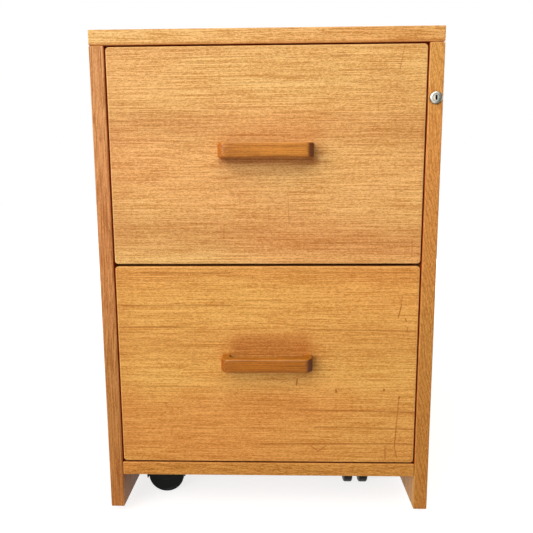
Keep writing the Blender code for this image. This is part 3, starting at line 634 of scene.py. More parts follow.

# Each teak board and handle: the axis of its grain, its light and dark colour, its seed, how
# strong its fine lines, fibres, long streaks and mottling are, how far the grain slants over its
# front edge, and how worn its edges are. The lower drawer front and lower handle have darker
# colours than the upper ones: painted shade for the lesser light lower down
TEAK = {
    "top_panel": (
        "X", (0.96, 0.62, 0.24), (0.60, 0.285, 0.055), 1.0, 1.7, 2.1, 0.2, 0.10, 0.03, 0.2),
    "left_side_panel": (
        "Z", (0.79, 0.40, 0.145), (0.45, 0.175, 0.04), 2.0, 2.1, 1.6, 0.4, 0.2, 0.02, 0.1),
    "right_side_panel": (
        "Z", (0.86, 0.45, 0.122), (0.52, 0.21, 0.038), 3.0, 1.0, 1.5, 0.25, 0.12, -0.24, 0.1),
    "bottom_panel": (
        "X", (0.81, 0.385, 0.090), (0.38, 0.135, 0.013), 4.0, 1.05, 1.6, 0.3, 0.12, 0.05, 0.3),
    "back_panel": (
        "Z", (0.58, 0.28, 0.075), (0.40, 0.16, 0.03), 5.0, 1.2, 1.2, 0.3, 0.3, 0.0, 0.1),
    "upper_drawer_front": (
        "X", (0.97, 0.622, 0.238), (0.585, 0.242, 0.043), 6.0, 1.10, 1.6, 0.16, 0.03, 0.0, 0.4),
    # Darker than the upper front: painted shade for the lesser light lower down
    "lower_drawer_front": (
        "X", (0.96, 0.560, 0.160), (0.56, 0.208, 0.025), 7.0, 1.0, 1.5, 0.16, 0.03, 0.0, 0.4),
    "upper_handle": (
        "X", (0.75, 0.31, 0.040), (0.34, 0.110, 0.008), 8.0, 1.3, 0.8, 0.5, 0.2, 0.0, 0.55),
    # Darker than the upper handle: painted shade for the lesser light lower down
    "lower_handle": (
        "X", (0.555, 0.205, 0.012), (0.255, 0.079, 0.003), 9.0, 1.3, 0.8, 0.5, 0.2, 0.0, 0.55),
}

# How far the grain wanders, and how far each layer takes the teak from light, 0, to dark, 1
DRIFT = 0.005
RIPPLE = 0.0003
EVEN_DEPTH = 0.48
BAND_DEPTH = 0.10
MIDDLE_LINE_DEPTH = 0.03
LINE_DEPTH = 0.18
HAIR_DEPTH = 0.95
FIBRE_DEPTH = 0.30
STREAK_SPAN = (0.30, 0.55)
PORE_SHARE = 0.5

# Where the grain slants by more than this over a front edge, the edge shows growth rings, light
# and dark in turn, so many to the metre, and the other faces get stronger fine lines
FLAMED = 0.1
FLAMED_FINE = 1.2
SLANT_BEND = 0.09
RINGS = 430.0
RING_WOBBLE = 3.4

# Tints: rosy patches, the deep tone of streaks and pores, painted light on the handles' upward
# faces, painted shade on the top panel's lower rim, the top panel's right end, and painted shade
# darkening the lower ends of the side panels' front edges
ROSY = (1.0, 0.88, 0.87)
DEEP_TINT = (0.66, 0.47, 0.38)
HANDLE_TOP_LIGHT = (1.22, 1.46, 1.66)
HANDLE_TOP_LIGHT_SHARE = 0.8
RIM_SHADE_TINT = (0.86, 0.66, 0.48)
RIM_SHADE_SHARE = 0.8
RIM_HEIGHTS = (0.0045, 0.0015)
RIGHT_TINT = (0.91, 0.81, 0.72)
FOOT_SHADE_TINT = (0.73, 0.62, 0.46)

# The handles' ends, a slight end-grain tint on the left and painted shade on the right: how far a
# face is turned to the left or right for the whole tint, the tint, and the share of that turn at
# which it starts
HANDLE_END_GRAIN_AND_SHADE = ((-0.80, (1.00, 0.86, 0.82)), (0.60, (0.30, 0.18, 0.11)))
HANDLE_END_START = 0.25
HANDLE_ARRIS = 0.002

# Rubbed edges, paler where worn, and on the handles kept to the upper edges, where they are
# also a painted highlight: their width and how ragged they are, and how much paler the wood is
# there
RUBBED_WIDTH = 0.0024
RUBBED_RAGGED = 0.0007
RUBBED_GAIN = 1.08
BOARD_PALER = 0.03
HANDLE_PALER_HIGHLIGHT = 0.11

# Teak's relief, roughness and shine: what each layer raises or sinks, the bump's distance and
# strength, and what each layer adds to the roughness
LINE_RELIEF = 0.5
FIBRE_RELIEF = 0.4
PORE_RELIEF = 0.9
SCRATCH_RELIEF = 2.0
TEAK_BUMP = (0.00007, 0.7)
TEAK_ROUGH = 0.46
HANDLE_POLISH = 0.14
SHEEN_ROUGH = 0.09
PORE_ROUGH = 0.12
SCRATCH_ROUGH = 0.15
RUBBED_SMOOTH = 0.06
BOARD_SHINE = 0.2
HANDLE_SHINE = 0.26

# Painted shade in the narrow gaps round the fronts, darker on the faces that look up: where it
# starts behind their face and how deep it reaches, where the gaps are, how far past them it fades
# out, and its colours
GAP_SHADE = (0.58, 0.060, 0.012)
GAP_SHADE_BELOW = (0.18, 0.032, 0.007)
FRONT_GAP_SHADE = (0.40, 0.15, 0.040)
FRONT_PLANE = -0.2375
GAP_START = (0.0009, 0.0022)
GAP_DEPTH = 0.012
GAP_DEPTH_FADE = 0.003
GAP_SIDE = 0.2035
GAP_FLOOR = 0.0781
GAP_CEILING = 0.6354
GAP_PAST = (0.004, 0.002)
UPPER_EDGE = (0.004, 0.002)
UPPER_EDGE_SHARE = 0.6

# Marks: at how many of its widths from its middle a mark is full, and gone, how far bands and
# lines follow the grain, and how strong scratches and the lipping's seam are
LINE_SPREAD = (0.3, 1.5)
BAND_SPREAD = (0.1, 0.9)
BAND_WAVER = 0.012
LINE_WAVER = 0.35
SCRATCH_SHARE = 0.95
SEAM_SHARE = 0.3

# Broad darker bands of the fronts' figure, those low on the lower front also painted shade
# towards the floor; narrow bands along the fronts' top edges, painted shade under the gaps above;
# darker patches behind the handles, partly hand grime and partly painted shade; and two narrow
# strips close under the upper handle, painted shadow of the handle: ends in X and Z, width, depth
FIGURE_AND_SHADE_TINT = (0.87, 0.765, 0.70)
FIGURE_AND_SHADE = {
    "upper_drawer_front": (
        (-0.2, 0.536, 0.2, 0.53, 0.036, 0.75), (-0.17, 0.548, -0.08, 0.541, 0.02, 0.35),
        (-0.2, 0.4, 0.2, 0.392, 0.042, 0.85), (0.15, 0.6, 0.2, 0.5, 0.04, 0.25),
        (-0.2, 0.59, -0.19, 0.4, 0.03, 0.3), (-0.2, 0.633, 0.2, 0.631, 0.014, 0.4),
        (-0.044, 0.507, 0.056, 0.507, 0.034, 0.75), (-0.03, 0.44, 0.05, 0.43, 0.034, 0.35),
        (-0.06, 0.4885, 0.064, 0.4875, 0.01, 0.9), (-0.058, 0.49, 0.062, 0.489, 0.008, 1.0)),
    "lower_drawer_front": (
        (-0.2, 0.255, 0.2, 0.25, 0.036, 0.6), (-0.2, 0.158, 0.2, 0.15, 0.038, 0.55),
        (-0.2, 0.108, 0.2, 0.1, 0.048, 0.6), (-0.04, 0.236, 0.052, 0.236, 0.036, 1.0),
        (-0.035, 0.247, 0.048, 0.246, 0.02, 1.0), (-0.05, 0.175, 0.05, 0.17, 0.02, 0.35),
        (-0.2, 0.344, 0.2, 0.343, 0.016, 0.55), (-0.2, 0.33, -0.19, 0.1, 0.03, 0.35)),
}

# Long dark grain lines on the fronts: ends in X and Z, width, depth
GRAIN_LINES = {
    "upper_drawer_front": (
        (0.082, 0.6194, 0.105, 0.6191, 0.0009, 0.45), (0.035, 0.3868, 0.19, 0.3856, 0.0009, 0.5),
        (-0.15, 0.402, -0.02, 0.4014, 0.0008, 0.35), (-0.05, 0.589, 0.12, 0.5882, 0.0008, 0.3),
        (0.06, 0.4915, 0.084, 0.4905, 0.001, 0.55)),
    "lower_drawer_front": (
        (-0.167, 0.3468, -0.0485, 0.3467, 0.0009, 0.6), (0.04, 0.3462, 0.196, 0.3466, 0.0009, 0.4),
        (-0.1944, 0.3021, -0.0491, 0.3022, 0.001, 0.7),
        (-0.199, 0.2726, -0.117, 0.2727, 0.0009, 0.6), (0.04, 0.27, 0.198, 0.2682, 0.0009, 0.55),
        (0.0448, 0.157, 0.2, 0.154, 0.0012, 0.7), (0.0655, 0.1322, 0.199, 0.13, 0.0011, 0.6),
        (-0.01, 0.1068, 0.198, 0.1082, 0.001, 0.7), (-0.18, 0.19, -0.06, 0.1893, 0.0009, 0.35),
        (-0.12, 0.129, 0.01, 0.1296, 0.0009, 0.35)),
}

# Fine scratches and small dents on the fronts: ends in X and Z, width, depth
SCRATCHES = {
    "upper_drawer_front": (
        (0.1724, 0.631, 0.1673, 0.6018, 0.0008, 0.45),
        (-0.0554, 0.4098, -0.0557, 0.3915, 0.0008, 0.4),
        (0.0281, 0.4496, 0.0295, 0.4108, 0.0007, 0.35),
        (0.1893, 0.3882, 0.19, 0.3672, 0.0008, 0.4)),
    "lower_drawer_front": (
        (0.179, 0.1741, 0.1764, 0.133, 0.0008, 0.6), (0.1764, 0.133, 0.1749, 0.104, 0.0009, 0.7),
        (0.1749, 0.104, 0.1783, 0.087, 0.0009, 0.6), (0.162, 0.1046, 0.1625, 0.0855, 0.001, 0.6),
        (0.0602, 0.1038, 0.0699, 0.0965, 0.0009, 0.6),
        (0.0699, 0.0965, 0.0809, 0.104, 0.0009, 0.6), (0.1789, 0.316, 0.1782, 0.302, 0.0007, 0.4),
        (0.1782, 0.302, 0.1746, 0.286, 0.0008, 0.8), (0.1838, 0.2845, 0.1857, 0.2808, 0.0009, 0.8),
        (0.187, 0.272, 0.1871, 0.267, 0.0009, 0.6), (0.0407, 0.2005, 0.0398, 0.1917, 0.001, 0.8),
        (0.0934, 0.185, 0.094, 0.1822, 0.0015, 0.9), (0.1583, 0.186, 0.1585, 0.1845, 0.0015, 0.9),
        (0.1796, 0.1752, 0.179, 0.1735, 0.0015, 0.9)),
}

# The other finishes: a depth or roughness is the even share and then each layer's weight, a
# relief is the weights of two layers, and a bump is its distance and strength

# Birch plywood
PLIES = 9
BIRCH_LIGHT = (0.76, 0.60, 0.40)
BIRCH_DARK = (0.62, 0.44, 0.25)
BIRCH_FLECK = (0.40, 0.25, 0.12)
BIRCH_EDGE = (0.82, 0.68, 0.48)
PLY_ALONG = (0.66, 0.48, 0.28)
PLY_ACROSS = (0.46, 0.30, 0.16)
PLY_GLUE = (0.30, 0.18, 0.09)
PLY_LINE = (0.38, 0.24, 0.12)
BIRCH_DEPTH = (0.4, 0.7, 0.5)
BIRCH_RELIEF = (0.5, 0.6)
BIRCH_BUMP = (0.00006, 0.6)
BIRCH_ROUGH = (0.46, 0.08)

# Zinc-plated steel
ZINC_BLUISH = (0.60, 0.63, 0.66)
ZINC_YELLOWISH = (0.68, 0.66, 0.60)
ZINC_DULL = (0.42, 0.42, 0.42)
ZINC_DULL_SHARE = 0.35
ZINC_RELIEF = (0.5, 0.5)
ZINC_BUMP = (0.00003, 0.5)
ZINC_ROUGH = (0.34, 0.10, 0.14)

# Chrome of the lock: how far its painted shade on the right leans upwards and outwards from the
# key slot, and how wide the soft edge of the key slot's painted shade is, as shares of the slot's
# size
CHROME_BRIGHT = (0.64, 0.63, 0.55)
CHROME_FINGERED = (0.40, 0.39, 0.33)
CHROME_SHADE = (0.10, 0.105, 0.075)
CHROME_SHADE_SHARE = 0.92
CHROME_RING_AND_SLOT_DARK = (0.004, 0.004, 0.003)
SHADE_UPWARDS = 0.35
SHADE_OUTWARDS = 0.9
SLOT_SIDE_FADE = (0.56, 0.44)
SLOT_END_FADE = (0.54, 0.46)
PLUG_RING_SHARE = 0.4
CHROME_RELIEF = (0.4, 0.6)
CHROME_BUMP = (0.00001, 0.4)
CHROME_ROUGH = (0.16, 0.06, 0.12)

# Black nylon
HOOD_BLACK = (0.004, 0.004, 0.0036)
HOOD_DUST = 0.25
TREAD_BLACK = (0.003, 0.003, 0.0026)
TREAD_DUST = 0.35
NYLON_CLOUD_GAIN = 1.7
NYLON_DUST = (0.05, 0.047, 0.044)
NYLON_RELIEF = (0.7, 0.4)
NYLON_BUMP = (0.00005, 0.5)
NYLON_ROUGH = (0.40, 0.10, 0.18)
NYLON_SHINE = 0.12


def edge_distance(recipe, low, high):
    """How far a point on a box's skin is from the box's nearest edge.

    Of the distances to the three pairs of faces the smallest is about 0 on the skin, so the
    middle one is the distance to the edge.
    """
    middle = [(a + b) / 2 for a, b in zip(low, high)]
    half = [(b - a) / 2 for a, b in zip(low, high)]
    parts = recipe.axes(recipe.point())
    gaps = [h - abs(p - m) for p, m, h in zip(parts, middle, half)]
    lower = recipe.maths("MINIMUM", gaps[0], gaps[1])
    upper = recipe.maths("MAXIMUM", gaps[0], gaps[1])
    return recipe.maths("MAXIMUM", lower, recipe.maths("MINIMUM", upper, gaps[2]))


def marks(recipe, point, table, spread=LINE_SPREAD):
    """The deepest of some straight marks on an X-Z face: each is full and then gone at so many
    widths from the nearest point of the line between its ends."""
    full, gone = spread
    flat = recipe.vector("MULTIPLY", point, (1.0, 0.0, 1.0))
    deepest = None
    for x0, z0, x1, z1, width, depth in table:
        line = Vector((x1 - x0, 0.0, z1 - z0))
        from_start = recipe.vector("SUBTRACT", flat, (x0, 0.0, z0))
        share = recipe.vector("DOT_PRODUCT", from_start, tuple(line / line.length_squared))
        share = recipe.maths("MINIMUM", recipe.maths("MAXIMUM", share, 0.0), 1.0)
        nearest = recipe.vector("MULTIPLY", recipe.join(share, 0.0, share), tuple(line))
        away = recipe.vector("DISTANCE", from_start, nearest)
        mark = recipe.ramp(away, width * gone, width * full, 0.0, depth)
        deepest = mark if deepest is None else recipe.maths("MAXIMUM", deepest, mark)
    return deepest


def gap_shade_mask(recipe):
    """1 on the faces of the narrow gaps round the drawer fronts, where shade is painted, and 0
    on the outer faces: behind the rounded edge, and less than a front's thickness deep."""
    x, y, z = recipe.axes(recipe.point())
    outer, inner = GAP_PAST
    deepest = FRONT_PLANE + GAP_DEPTH
    behind = recipe.ramp(y, FRONT_PLANE + GAP_START[0], FRONT_PLANE + GAP_START[1])
    ahead = recipe.ramp(y, deepest, deepest - GAP_DEPTH_FADE)
    inside = (recipe.ramp(abs(x), GAP_SIDE + outer, GAP_SIDE + inner)
              * recipe.ramp(z, GAP_FLOOR - outer, GAP_FLOOR - inner)
              * recipe.ramp(z, GAP_CEILING + outer, GAP_CEILING + inner))
    return behind * ahead * inside


def teak(node):
    """Oiled teak: bands, fine lines, fibres, streaks, pores, worn edges, painted light and shade.

    The noise layers, each times its weight, add up to a depth that picks a colour between the
    board's light and dark one. Streaks, pores and drawn marks mix a deeper tone in, tints multiply
    the colour, several of them painted light and shade, and the worn edges and the painted shade in
    the gaps come last.
    """
    grain, light, dark, seed, fine, grit, streaks, mottle, slant, wear = TEAK[node]
    recipe = new_recipe(f"teak_{node}")
    low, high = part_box(node)
    point = recipe.point(GRAIN_TURN[grain], seeded("teak", seed))
    along, across, deep = recipe.axes(point)
    drift = recipe.layer(point, "drift") * DRIFT + recipe.layer(point, "ripple") * RIPPLE
    if slant:
        edge_on = recipe.shown(recipe.facing()[1], "front_edge")
        bend = recipe.layer(point, "edge_bend")
        if abs(slant) > FLAMED:
            fine = fine + FLAMED_FINE * (1.0 - edge_on)
        drift = drift + edge_on * (along * slant + bend * slant * SLANT_BEND)
    waved = recipe.about_grain(recipe.join(along, across + drift, deep + drift))
    point = recipe.about_grain(point)

    bands, middle_lines, lines, hairs = (
        recipe.layer(waved, name) for name in ("bands", "middle_lines", "lines", "hairs"))
    fibres = recipe.layer(point, "fibres") + recipe.layer(point, "short_fibres")
    sheen = recipe.layer(point, "sheen")
    long_lines = recipe.layer(waved, "long_lines")
    pores = recipe.layer(waved, "pores")

    depth = (EVEN_DEPTH + BAND_DEPTH * bands + MIDDLE_LINE_DEPTH * middle_lines
             + fine * (LINE_DEPTH * lines + HAIR_DEPTH * hairs)
             + grit * FIBRE_DEPTH * fibres + mottle * sheen)
    if abs(slant) > FLAMED:
        rings = (deep + drift) * RINGS + recipe.layer(point, "ring_wobble") * RING_WOBBLE
        swing = recipe.maths("PINGPONG", rings, 1.0)
        depth = depth + (edge_on * recipe.shown(swing, "rings")
                         * recipe.shown(sheen, "ring_breaks"))
    height = recipe.axes(recipe.point())[2]
    rosy = recipe.shown(recipe.layer(point, "rosy"), "rosy")
    light_tone = recipe.mix(rosy, light, tinted(light, ROSY))
    dark_tone = recipe.mix(rosy, dark, tinted(dark, ROSY))
    body = recipe.mix(recipe.shown(depth, "depth"), light_tone, dark_tone)
    deep_tone = tinted(dark, DEEP_TINT)
    body = recipe.mix(recipe.ramp(long_lines, *STREAK_SPAN, 0.0, streaks), body, deep_tone)
    pore = recipe.shown(pores, "pores")
    body = recipe.mix(pore * PORE_SHARE, body, deep_tone)

    # Figure bands, with painted shade low on the lower front, along the fronts' top edges and round
    # and under the handles
    if node in FIGURE_AND_SHADE:
        broad = recipe.vector("ADD", recipe.point(), recipe.join(0.0, 0.0, bands * BAND_WAVER))
        for band in FIGURE_AND_SHADE[node]:
            body = recipe.tint(marks(recipe, broad, (band,), BAND_SPREAD), body, FIGURE_AND_SHADE_TINT)
    handle = "handle" in node
    if handle:
        sideways, _, upwards = recipe.facing()
        # The left end's tint is a slight end-grain tint; the right end's is painted shade
        for full, tint in HANDLE_END_GRAIN_AND_SHADE:
            body = recipe.tint(recipe.ramp(sideways, full * HANDLE_END_START, full), body, tint)
        # Painted light on the handles' upward faces
        fingered = recipe.shown(upwards, "fingered")
        body = recipe.tint(fingered * HANDLE_TOP_LIGHT_SHARE, body, HANDLE_TOP_LIGHT)
    if "side_panel" in node:
        # Painted shade: the side panels' front edges darker towards the floor
        body = recipe.tint(edge_on * recipe.shown(height, "foot_shade"), body, FOOT_SHADE_TINT)
    if node == "top_panel":
        # Painted shade on the lower rim of the top panel's front edge, which faces down
        rim = recipe.ramp(height, low[2] + RIM_HEIGHTS[0], low[2] + RIM_HEIGHTS[1])
        body = recipe.tint(rim * RIM_SHADE_SHARE, body, RIM_SHADE_TINT)
        right_end = recipe.shown(recipe.axes(recipe.point())[0], "right_end")
        body = recipe.tint(edge_on * right_end, body, RIGHT_TINT)

    edge = edge_distance(recipe, low, high)
    rubbed_and_highlit = recipe.ramp(edge + RUBBED_RAGGED * sheen, RUBBED_WIDTH, 0.0)
    # On the handles only the upper edges: wear, and a painted highlight along the top arris
    if handle:
        rubbed_and_highlit = rubbed_and_highlit * recipe.ramp(height, (low[2] + high[2]) / 2, high[2] - HANDLE_ARRIS)
    paler = HANDLE_PALER_HIGHLIGHT if handle else BOARD_PALER
    body = recipe.mix(rubbed_and_highlit * wear, body, [part * RUBBED_GAIN + paler for part in light])
    relief = LINE_RELIEF * lines + FIBRE_RELIEF * fibres - PORE_RELIEF * pore
    rough = ((TEAK_ROUGH - HANDLE_POLISH * handle) + SHEEN_ROUGH * sheen + PORE_ROUGH * pore
             - RUBBED_SMOOTH * rubbed_and_highlit)
    if node in GRAIN_LINES:
        wavy = recipe.vector("ADD", recipe.point(), recipe.join(0.0, 0.0, drift * LINE_WAVER))
        drawn = marks(recipe, wavy, GRAIN_LINES[node])
        body = recipe.mix(drawn * recipe.shown(lines, "line_breaks"), body, deep_tone)
        scratched = marks(recipe, recipe.point(), SCRATCHES[node])
        body = recipe.mix(scratched * SCRATCH_SHARE, body, deep_tone)
        seam = recipe.ramp(abs(edge - LIPPING), LIPPING_LINE, 0.0, 0.0, SEAM_SHARE)
        body = recipe.mix(seam * recipe.shown(sheen, "seam_breaks"), body, deep_tone)
        relief = relief - SCRATCH_RELIEF * scratched - seam
        rough = rough + SCRATCH_ROUGH * scratched
    # Painted shade in the gaps round the fronts, darker on the faces that look up
    if not handle and node != "back_panel":
        gap_shade = GAP_SHADE_BELOW if node == "bottom_panel" else GAP_SHADE
        if node in FIGURE_AND_SHADE:
            upper_edge = recipe.ramp(height, high[2] - UPPER_EDGE[0], high[2] - UPPER_EDGE[1])
            gap_shade = recipe.mix(upper_edge * UPPER_EDGE_SHARE, FRONT_GAP_SHADE, GAP_SHADE_BELOW)
        body = recipe.mix(gap_shade_mask(recipe), body, gap_shade)
    recipe.bump(relief, *TEAK_BUMP)
    return recipe.finish(body, rough, specular=HANDLE_SHINE if handle else BOARD_SHINE)


def birch_ply(node, grain, thickness_axis, seed):
    """Clear-lacquered birch plywood: pale flat faces, and the plies' stripes on the edges."""
    recipe = new_recipe(f"birch_{node}")
    low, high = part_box(node)
    point = recipe.point(GRAIN_TURN[grain], seeded("birch", seed))
    clouds, lines, flecks = (
        recipe.layer(point, name) for name in ("birch_clouds", "birch_lines", "birch_flecks"))
    depth = weighted(BIRCH_DEPTH, clouds, lines)
    face = recipe.mix(recipe.shown(depth, "birch_depth"), BIRCH_LIGHT, BIRCH_DARK)
    face = recipe.mix(recipe.shown(flecks, "birch_flecks"), face, BIRCH_FLECK)

    axis = "XYZ".index(thickness_axis)
    across = recipe.axes(recipe.point())[axis]
    count = (across - low[axis]) * (PLIES / (high[axis] - low[axis]))
    swing = recipe.maths("PINGPONG", count, 1.0)
    glue = recipe.shown(abs(swing - 0.5), "glue")
    ply = recipe.mix(recipe.shown(swing, "plies"), PLY_ALONG, PLY_ACROSS)
    ply = recipe.mix(glue, ply, PLY_GLUE)
    ply = recipe.mix(recipe.shown(lines, "ply_lines"), ply, PLY_LINE)
    flat = abs(recipe.facing()[axis])
    body = recipe.mix(recipe.shown(flat, "ply_face"), ply, face)
    edge = edge_distance(recipe, low, high)
    body = recipe.mix(recipe.shown(edge, "birch_edge"), body, BIRCH_EDGE)
    raised, sunk = BIRCH_RELIEF
    recipe.bump(raised * lines - sunk * recipe.shown(flecks, "birch_pits"), *BIRCH_BUMP)
    return recipe.finish(body, weighted(BIRCH_ROUGH, clouds))


def zinc_steel(name, streak_axis):
    """Zinc-plated steel: rolled streaks, a faint bluish and yellowish cast, small dull spots."""
    recipe = new_recipe(name)
    point = recipe.point(GRAIN_TURN[streak_axis], seeded("zinc", SEEDS[name]))
    streaks, cast, spots = (
        recipe.layer(point, layer) for layer in ("zinc_streaks", "zinc_cast", "zinc_spots"))
    colour = recipe.mix(recipe.shown(cast, "zinc_cast"), ZINC_BLUISH, ZINC_YELLOWISH)
    dull = recipe.shown(spots, "zinc_dull")
    colour = recipe.mix(dull * ZINC_DULL_SHARE, colour, ZINC_DULL)
    streaky, spotty = ZINC_RELIEF
    recipe.bump(streaky * streaks + spotty * spots, *ZINC_BUMP)
    return recipe.finish(colour, weighted(ZINC_ROUGH, streaks, dull), 1.0)


def bright_chrome():
    """Polished chrome with hairline scratches and fingermarks, painted shade on its right, a darker
    ring round the plug, and painted shade in its key slot."""
    recipe = new_recipe("bright_chrome")
    point = recipe.point()
    low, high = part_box("lock_plug")
    x, _, z = recipe.axes(point)
    aside = x - (low[0] + high[0]) / 2
    up = z - (low[2] + high[2]) / 2
    fingermarks = recipe.layer(point, "fingermarks")
    hairs = recipe.layer(point, "chrome_hairs")
    colour = recipe.mix(recipe.shown(fingermarks, "fingermarks"), CHROME_BRIGHT, CHROME_FINGERED)
    from_middle = recipe.vector("LENGTH", recipe.join(aside, up, 0.0))
    # Painted shade on the chrome's right side, then joined with the fingermarks' smudges
    shade_and_smudges = recipe.shown(aside - SHADE_UPWARDS * up + SHADE_OUTWARDS * from_middle, "chrome_shade")
    shade_and_smudges = recipe.maths("MAXIMUM", shade_and_smudges, recipe.shown(fingermarks, "smudges"))
    colour = recipe.mix(shade_and_smudges * CHROME_SHADE_SHARE, colour, CHROME_SHADE)
    # A darker ring round the plug, and painted shade in the key slot
    ring = recipe.shown(abs(from_middle - PLUG_EDGE), "plug_ring")
    wide, tall = KEY_SLOT
    slot = (recipe.ramp(abs(aside), *[wide * share for share in SLOT_SIDE_FADE])
            * recipe.ramp(abs(up), *[tall * share for share in SLOT_END_FADE]))
    dark_ring_and_slot = recipe.maths("MAXIMUM", ring * PLUG_RING_SHARE, slot)
    colour = recipe.mix(dark_ring_and_slot, colour, CHROME_RING_AND_SLOT_DARK)
    scratched = recipe.shown(hairs, "chrome_scratches")
    fine, broad = CHROME_RELIEF
    recipe.bump(fine * hairs + broad * fingermarks, *CHROME_BUMP)
    return recipe.finish(colour, weighted(CHROME_ROUGH, fingermarks, scratched), 1.0)


def black_nylon(name, colour, dust):
    """Moulded black nylon: a fine grained skin, with scuffs and a little dust."""
    recipe = new_recipe(name)
    point = recipe.point(shift=seeded("nylon", SEEDS[name]))
    grain, cloud, scuffs = (
        recipe.layer(point, layer) for layer in ("nylon_grain", "nylon_clouds", "nylon_scuffs"))
    scuffed = recipe.shown(scuffs, "nylon_scuffs")
    body = recipe.mix(recipe.shown(cloud, "nylon_clouds"), colour,
                      [part * NYLON_CLOUD_GAIN for part in colour])
    body = recipe.mix(scuffed * dust, body, NYLON_DUST)
    fine, broad = NYLON_RELIEF
    recipe.bump(fine * grain + broad * cloud, *NYLON_BUMP)
    return recipe.finish(body, weighted(NYLON_ROUGH, cloud, scuffed), specular=NYLON_SHINE)


def room_seen(recipe):
    """1 where the camera looks, or a mirror, or glass, and 0 where only light falls."""
    outputs = recipe.node("ShaderNodeLightPath").socket.node.outputs
    seen = [Value(recipe, outputs[f"Is {kind} Ray"])
            for kind in ("Camera", "Glossy", "Transmission")]
    return recipe.maths("MAXIMUM", seen[0], recipe.maths("MAXIMUM", seen[1], seen[2]))


# Floor: its colour under the lamps, the glow that the camera sees near the cabinet, and the
# distances over which that glow rises to white
FLOOR_COLOUR = (0.40, 0.40, 0.40)
FLOOR_ROUGH = 0.9
FLOOR_GLOW = (0.80, 0.80, 0.80)
FLOOR_FADE = (0.55, 1.8)
FLOOR_HALF = 12.0

# Room: how strongly it lights the cabinet, and with what colour
ROOM_LEVEL = 0.11
ROOM_TINT = (1.0, 0.88, 0.74)
WHITE = (1.0, 1.0, 1.0)
BLACK = (0.0, 0.0, 0.0)


def pale_floor():
    """A plain pale floor that the camera and mirrors see as white, and that keeps shadows."""
    recipe = new_recipe("pale_floor")
    away = recipe.ramp(recipe.vector("LENGTH", recipe.point()), *FLOOR_FADE)
    white = recipe.mix(away, FLOOR_GLOW, WHITE)
    glow = recipe.mix(room_seen(recipe), BLACK, white)
    recipe.feed(recipe.shader.inputs["Emission Color"], glow)
    recipe.shader.inputs["Emission Strength"].default_value = 1.0
    return recipe.finish(FLOOR_COLOUR, FLOOR_ROUGH, specular=0.0)


def setup_world():
    """A soft even room that the camera and mirrors see as white."""
    world = bpy.data.worlds.new("studio")
    bpy.context.scene.world = world
    recipe = Recipe(world, "Background")
    seen = room_seen(recipe)
    recipe.feed(recipe.shader.inputs["Color"], recipe.mix(seen, ROOM_TINT, WHITE))
    recipe.feed(recipe.shader.inputs["Strength"], ROOM_LEVEL + (1.0 - ROOM_LEVEL) * seen)


# Square soft lamps: place, the point that each is aimed at, side, watts, colour
LAMPS = {
    "key_softbox": ((-2.50, -3.43, 2.32), (0.0, -0.24, 0.42), 3.80, 199.0, (1.0, 0.985, 0.955)),
    "high_softbox": ((0.25, -1.30, 1.90), (0.0, -0.24, 0.42), 0.90, 8.0, (1.0, 0.92, 0.82)),
    "front_softbox": ((0.10, -2.60, 0.80), (0.0, -0.24, 0.42), 1.00, 2.2, (1.0, 0.92, 0.82)),
    "top_softbox": ((0.0, 0.10, 2.50), (0.0, 0.0, 0.60), 1.50, 2.0, (1.0, 1.0, 1.0)),
    "rear_softbox": ((0.9, 2.4, 0.75), (0.0, 0.2, 0.35), 1.4, 30.0, (1.0, 1.0, 1.0)),
    "side_softbox": ((2.5, 0.8, 0.75), (0.2, 0.0, 0.35), 1.4, 26.0, (1.0, 1.0, 1.0)),
}


def setup_stage():
    """The floor, a square about the origin, the lamps and the room."""
    corners = [(x * FLOOR_HALF, y * FLOOR_HALF, 0.0)
               for x, y in ((-1, -1), (1, -1), (1, 1), (-1, 1))]
    mesh = bpy.data.meshes.new("floor")
    mesh.from_pydata(corners, [], [(0, 1, 2, 3)])
    mesh.materials.append(pale_floor())
    floor = bpy.data.objects.new("floor", mesh)
    bpy.context.scene.collection.objects.link(floor)
    for name, (place, target, side, watts, colour) in LAMPS.items():
        data = bpy.data.lights.new(name, "AREA")
        data.size = side
        data.energy = watts
        data.color = colour
        lamp = bpy.data.objects.new(name, data)
        lamp.location = place
        lamp.rotation_euler = (Vector(target) - Vector(place)).to_track_quat("-Z", "Y").to_euler()
        bpy.context.scene.collection.objects.link(lamp)
    setup_world()


# Each drawer box's plywood boards: the axis of the face's grain, and that of the thickness
PLYWOOD = {"inner_front": ("X", "Y"), "box_back": ("X", "Y"), "box_left_side": ("Y", "X"),
           "box_right_side": ("Y", "X"), "box_bottom": ("Y", "Z")}
PLYWOOD_SEED = 10.0


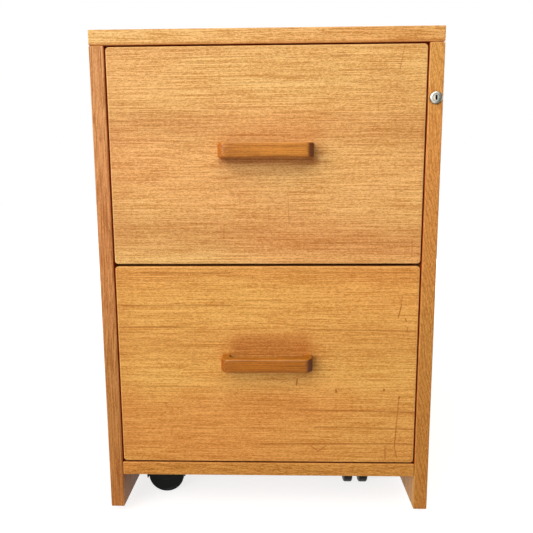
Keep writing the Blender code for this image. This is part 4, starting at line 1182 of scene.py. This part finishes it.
def dress_nodes():
    """Gives each CAD node its finish, by the words in its name, and returns the finishes by
    node. Nodes without such words are fasteners and small fittings."""
    finishes = {node: teak(node) for node in TEAK}
    boards = [(f"{drawer}_{board}", *axes) for drawer in ("upper", "lower")
              for board, axes in PLYWOOD.items()]
    for count, (node, grain, thick) in enumerate(boards):
        finishes[node] = birch_ply(node, grain, thick, PLYWOOD_SEED + count)
    steel_lengthwise = zinc_steel("zinc_slides", "Y")
    steel_upright = zinc_steel("zinc_bar", "Z")
    steel_small = zinc_steel("zinc_fasteners", "X")
    chrome = bright_chrome()
    hood = black_nylon("black_nylon", HOOD_BLACK, HOOD_DUST)
    tread = black_nylon("black_tread", TREAD_BLACK, TREAD_DUST)
    by_words = {"member": steel_lengthwise, "file_rail": steel_lengthwise,
                "locking_bar": steel_upright, "lock_housing": chrome, "lock_plug": chrome,
                "caster_hood": hood, "wheel_pair": tread}
    for node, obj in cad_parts.items():
        if node not in finishes:
            finishes[node] = next((finish for words, finish in by_words.items()
                                   if words in node), steel_small)
        obj.data.materials.clear()
        obj.data.materials.append(finishes[node])
    return finishes


def add_pieces(finishes):
    """The finer pieces, each in place of its CAD node."""
    for drawer in ("upper", "lower"):
        body = f"{drawer}_drawer"
        front, handle = f"{drawer}_drawer_front", f"{drawer}_handle"
        add_piece(f"{drawer}_eased_front", [(front_grid(front), False)], finishes[front],
                  body, front)
        add_piece(f"{drawer}_rounded_handle", [(handle_grid(handle), False)], finishes[handle],
                  body, handle)
    add_piece("domed_lock", [(lock_grid("lock_housing"), True)], finishes["lock_housing"],
              "cabinet", "lock_housing")
    for name in ("front_left", "front_right", "rear_left", "rear_right"):
        wheels, hood = f"wheel_pair_{name}", f"caster_hood_{name}"
        place = caster_frame(name)
        add_piece(f"twin_wheels_{name}", [(wheel_grid(wheels), False)], finishes[wheels],
                  f"wheels_{name}", wheels)
        shells = [(fender_grid(place), False), (web_grid(place), True), (boss_grid(place), False)]
        add_piece(f"moulded_hood_{name}", shells, finishes[hood],
                  f"caster_{name}", hood)


setup_camera()
setup_stage()
add_pieces(dress_nodes())

bpy.context.scene.view_settings.view_transform = "Standard"
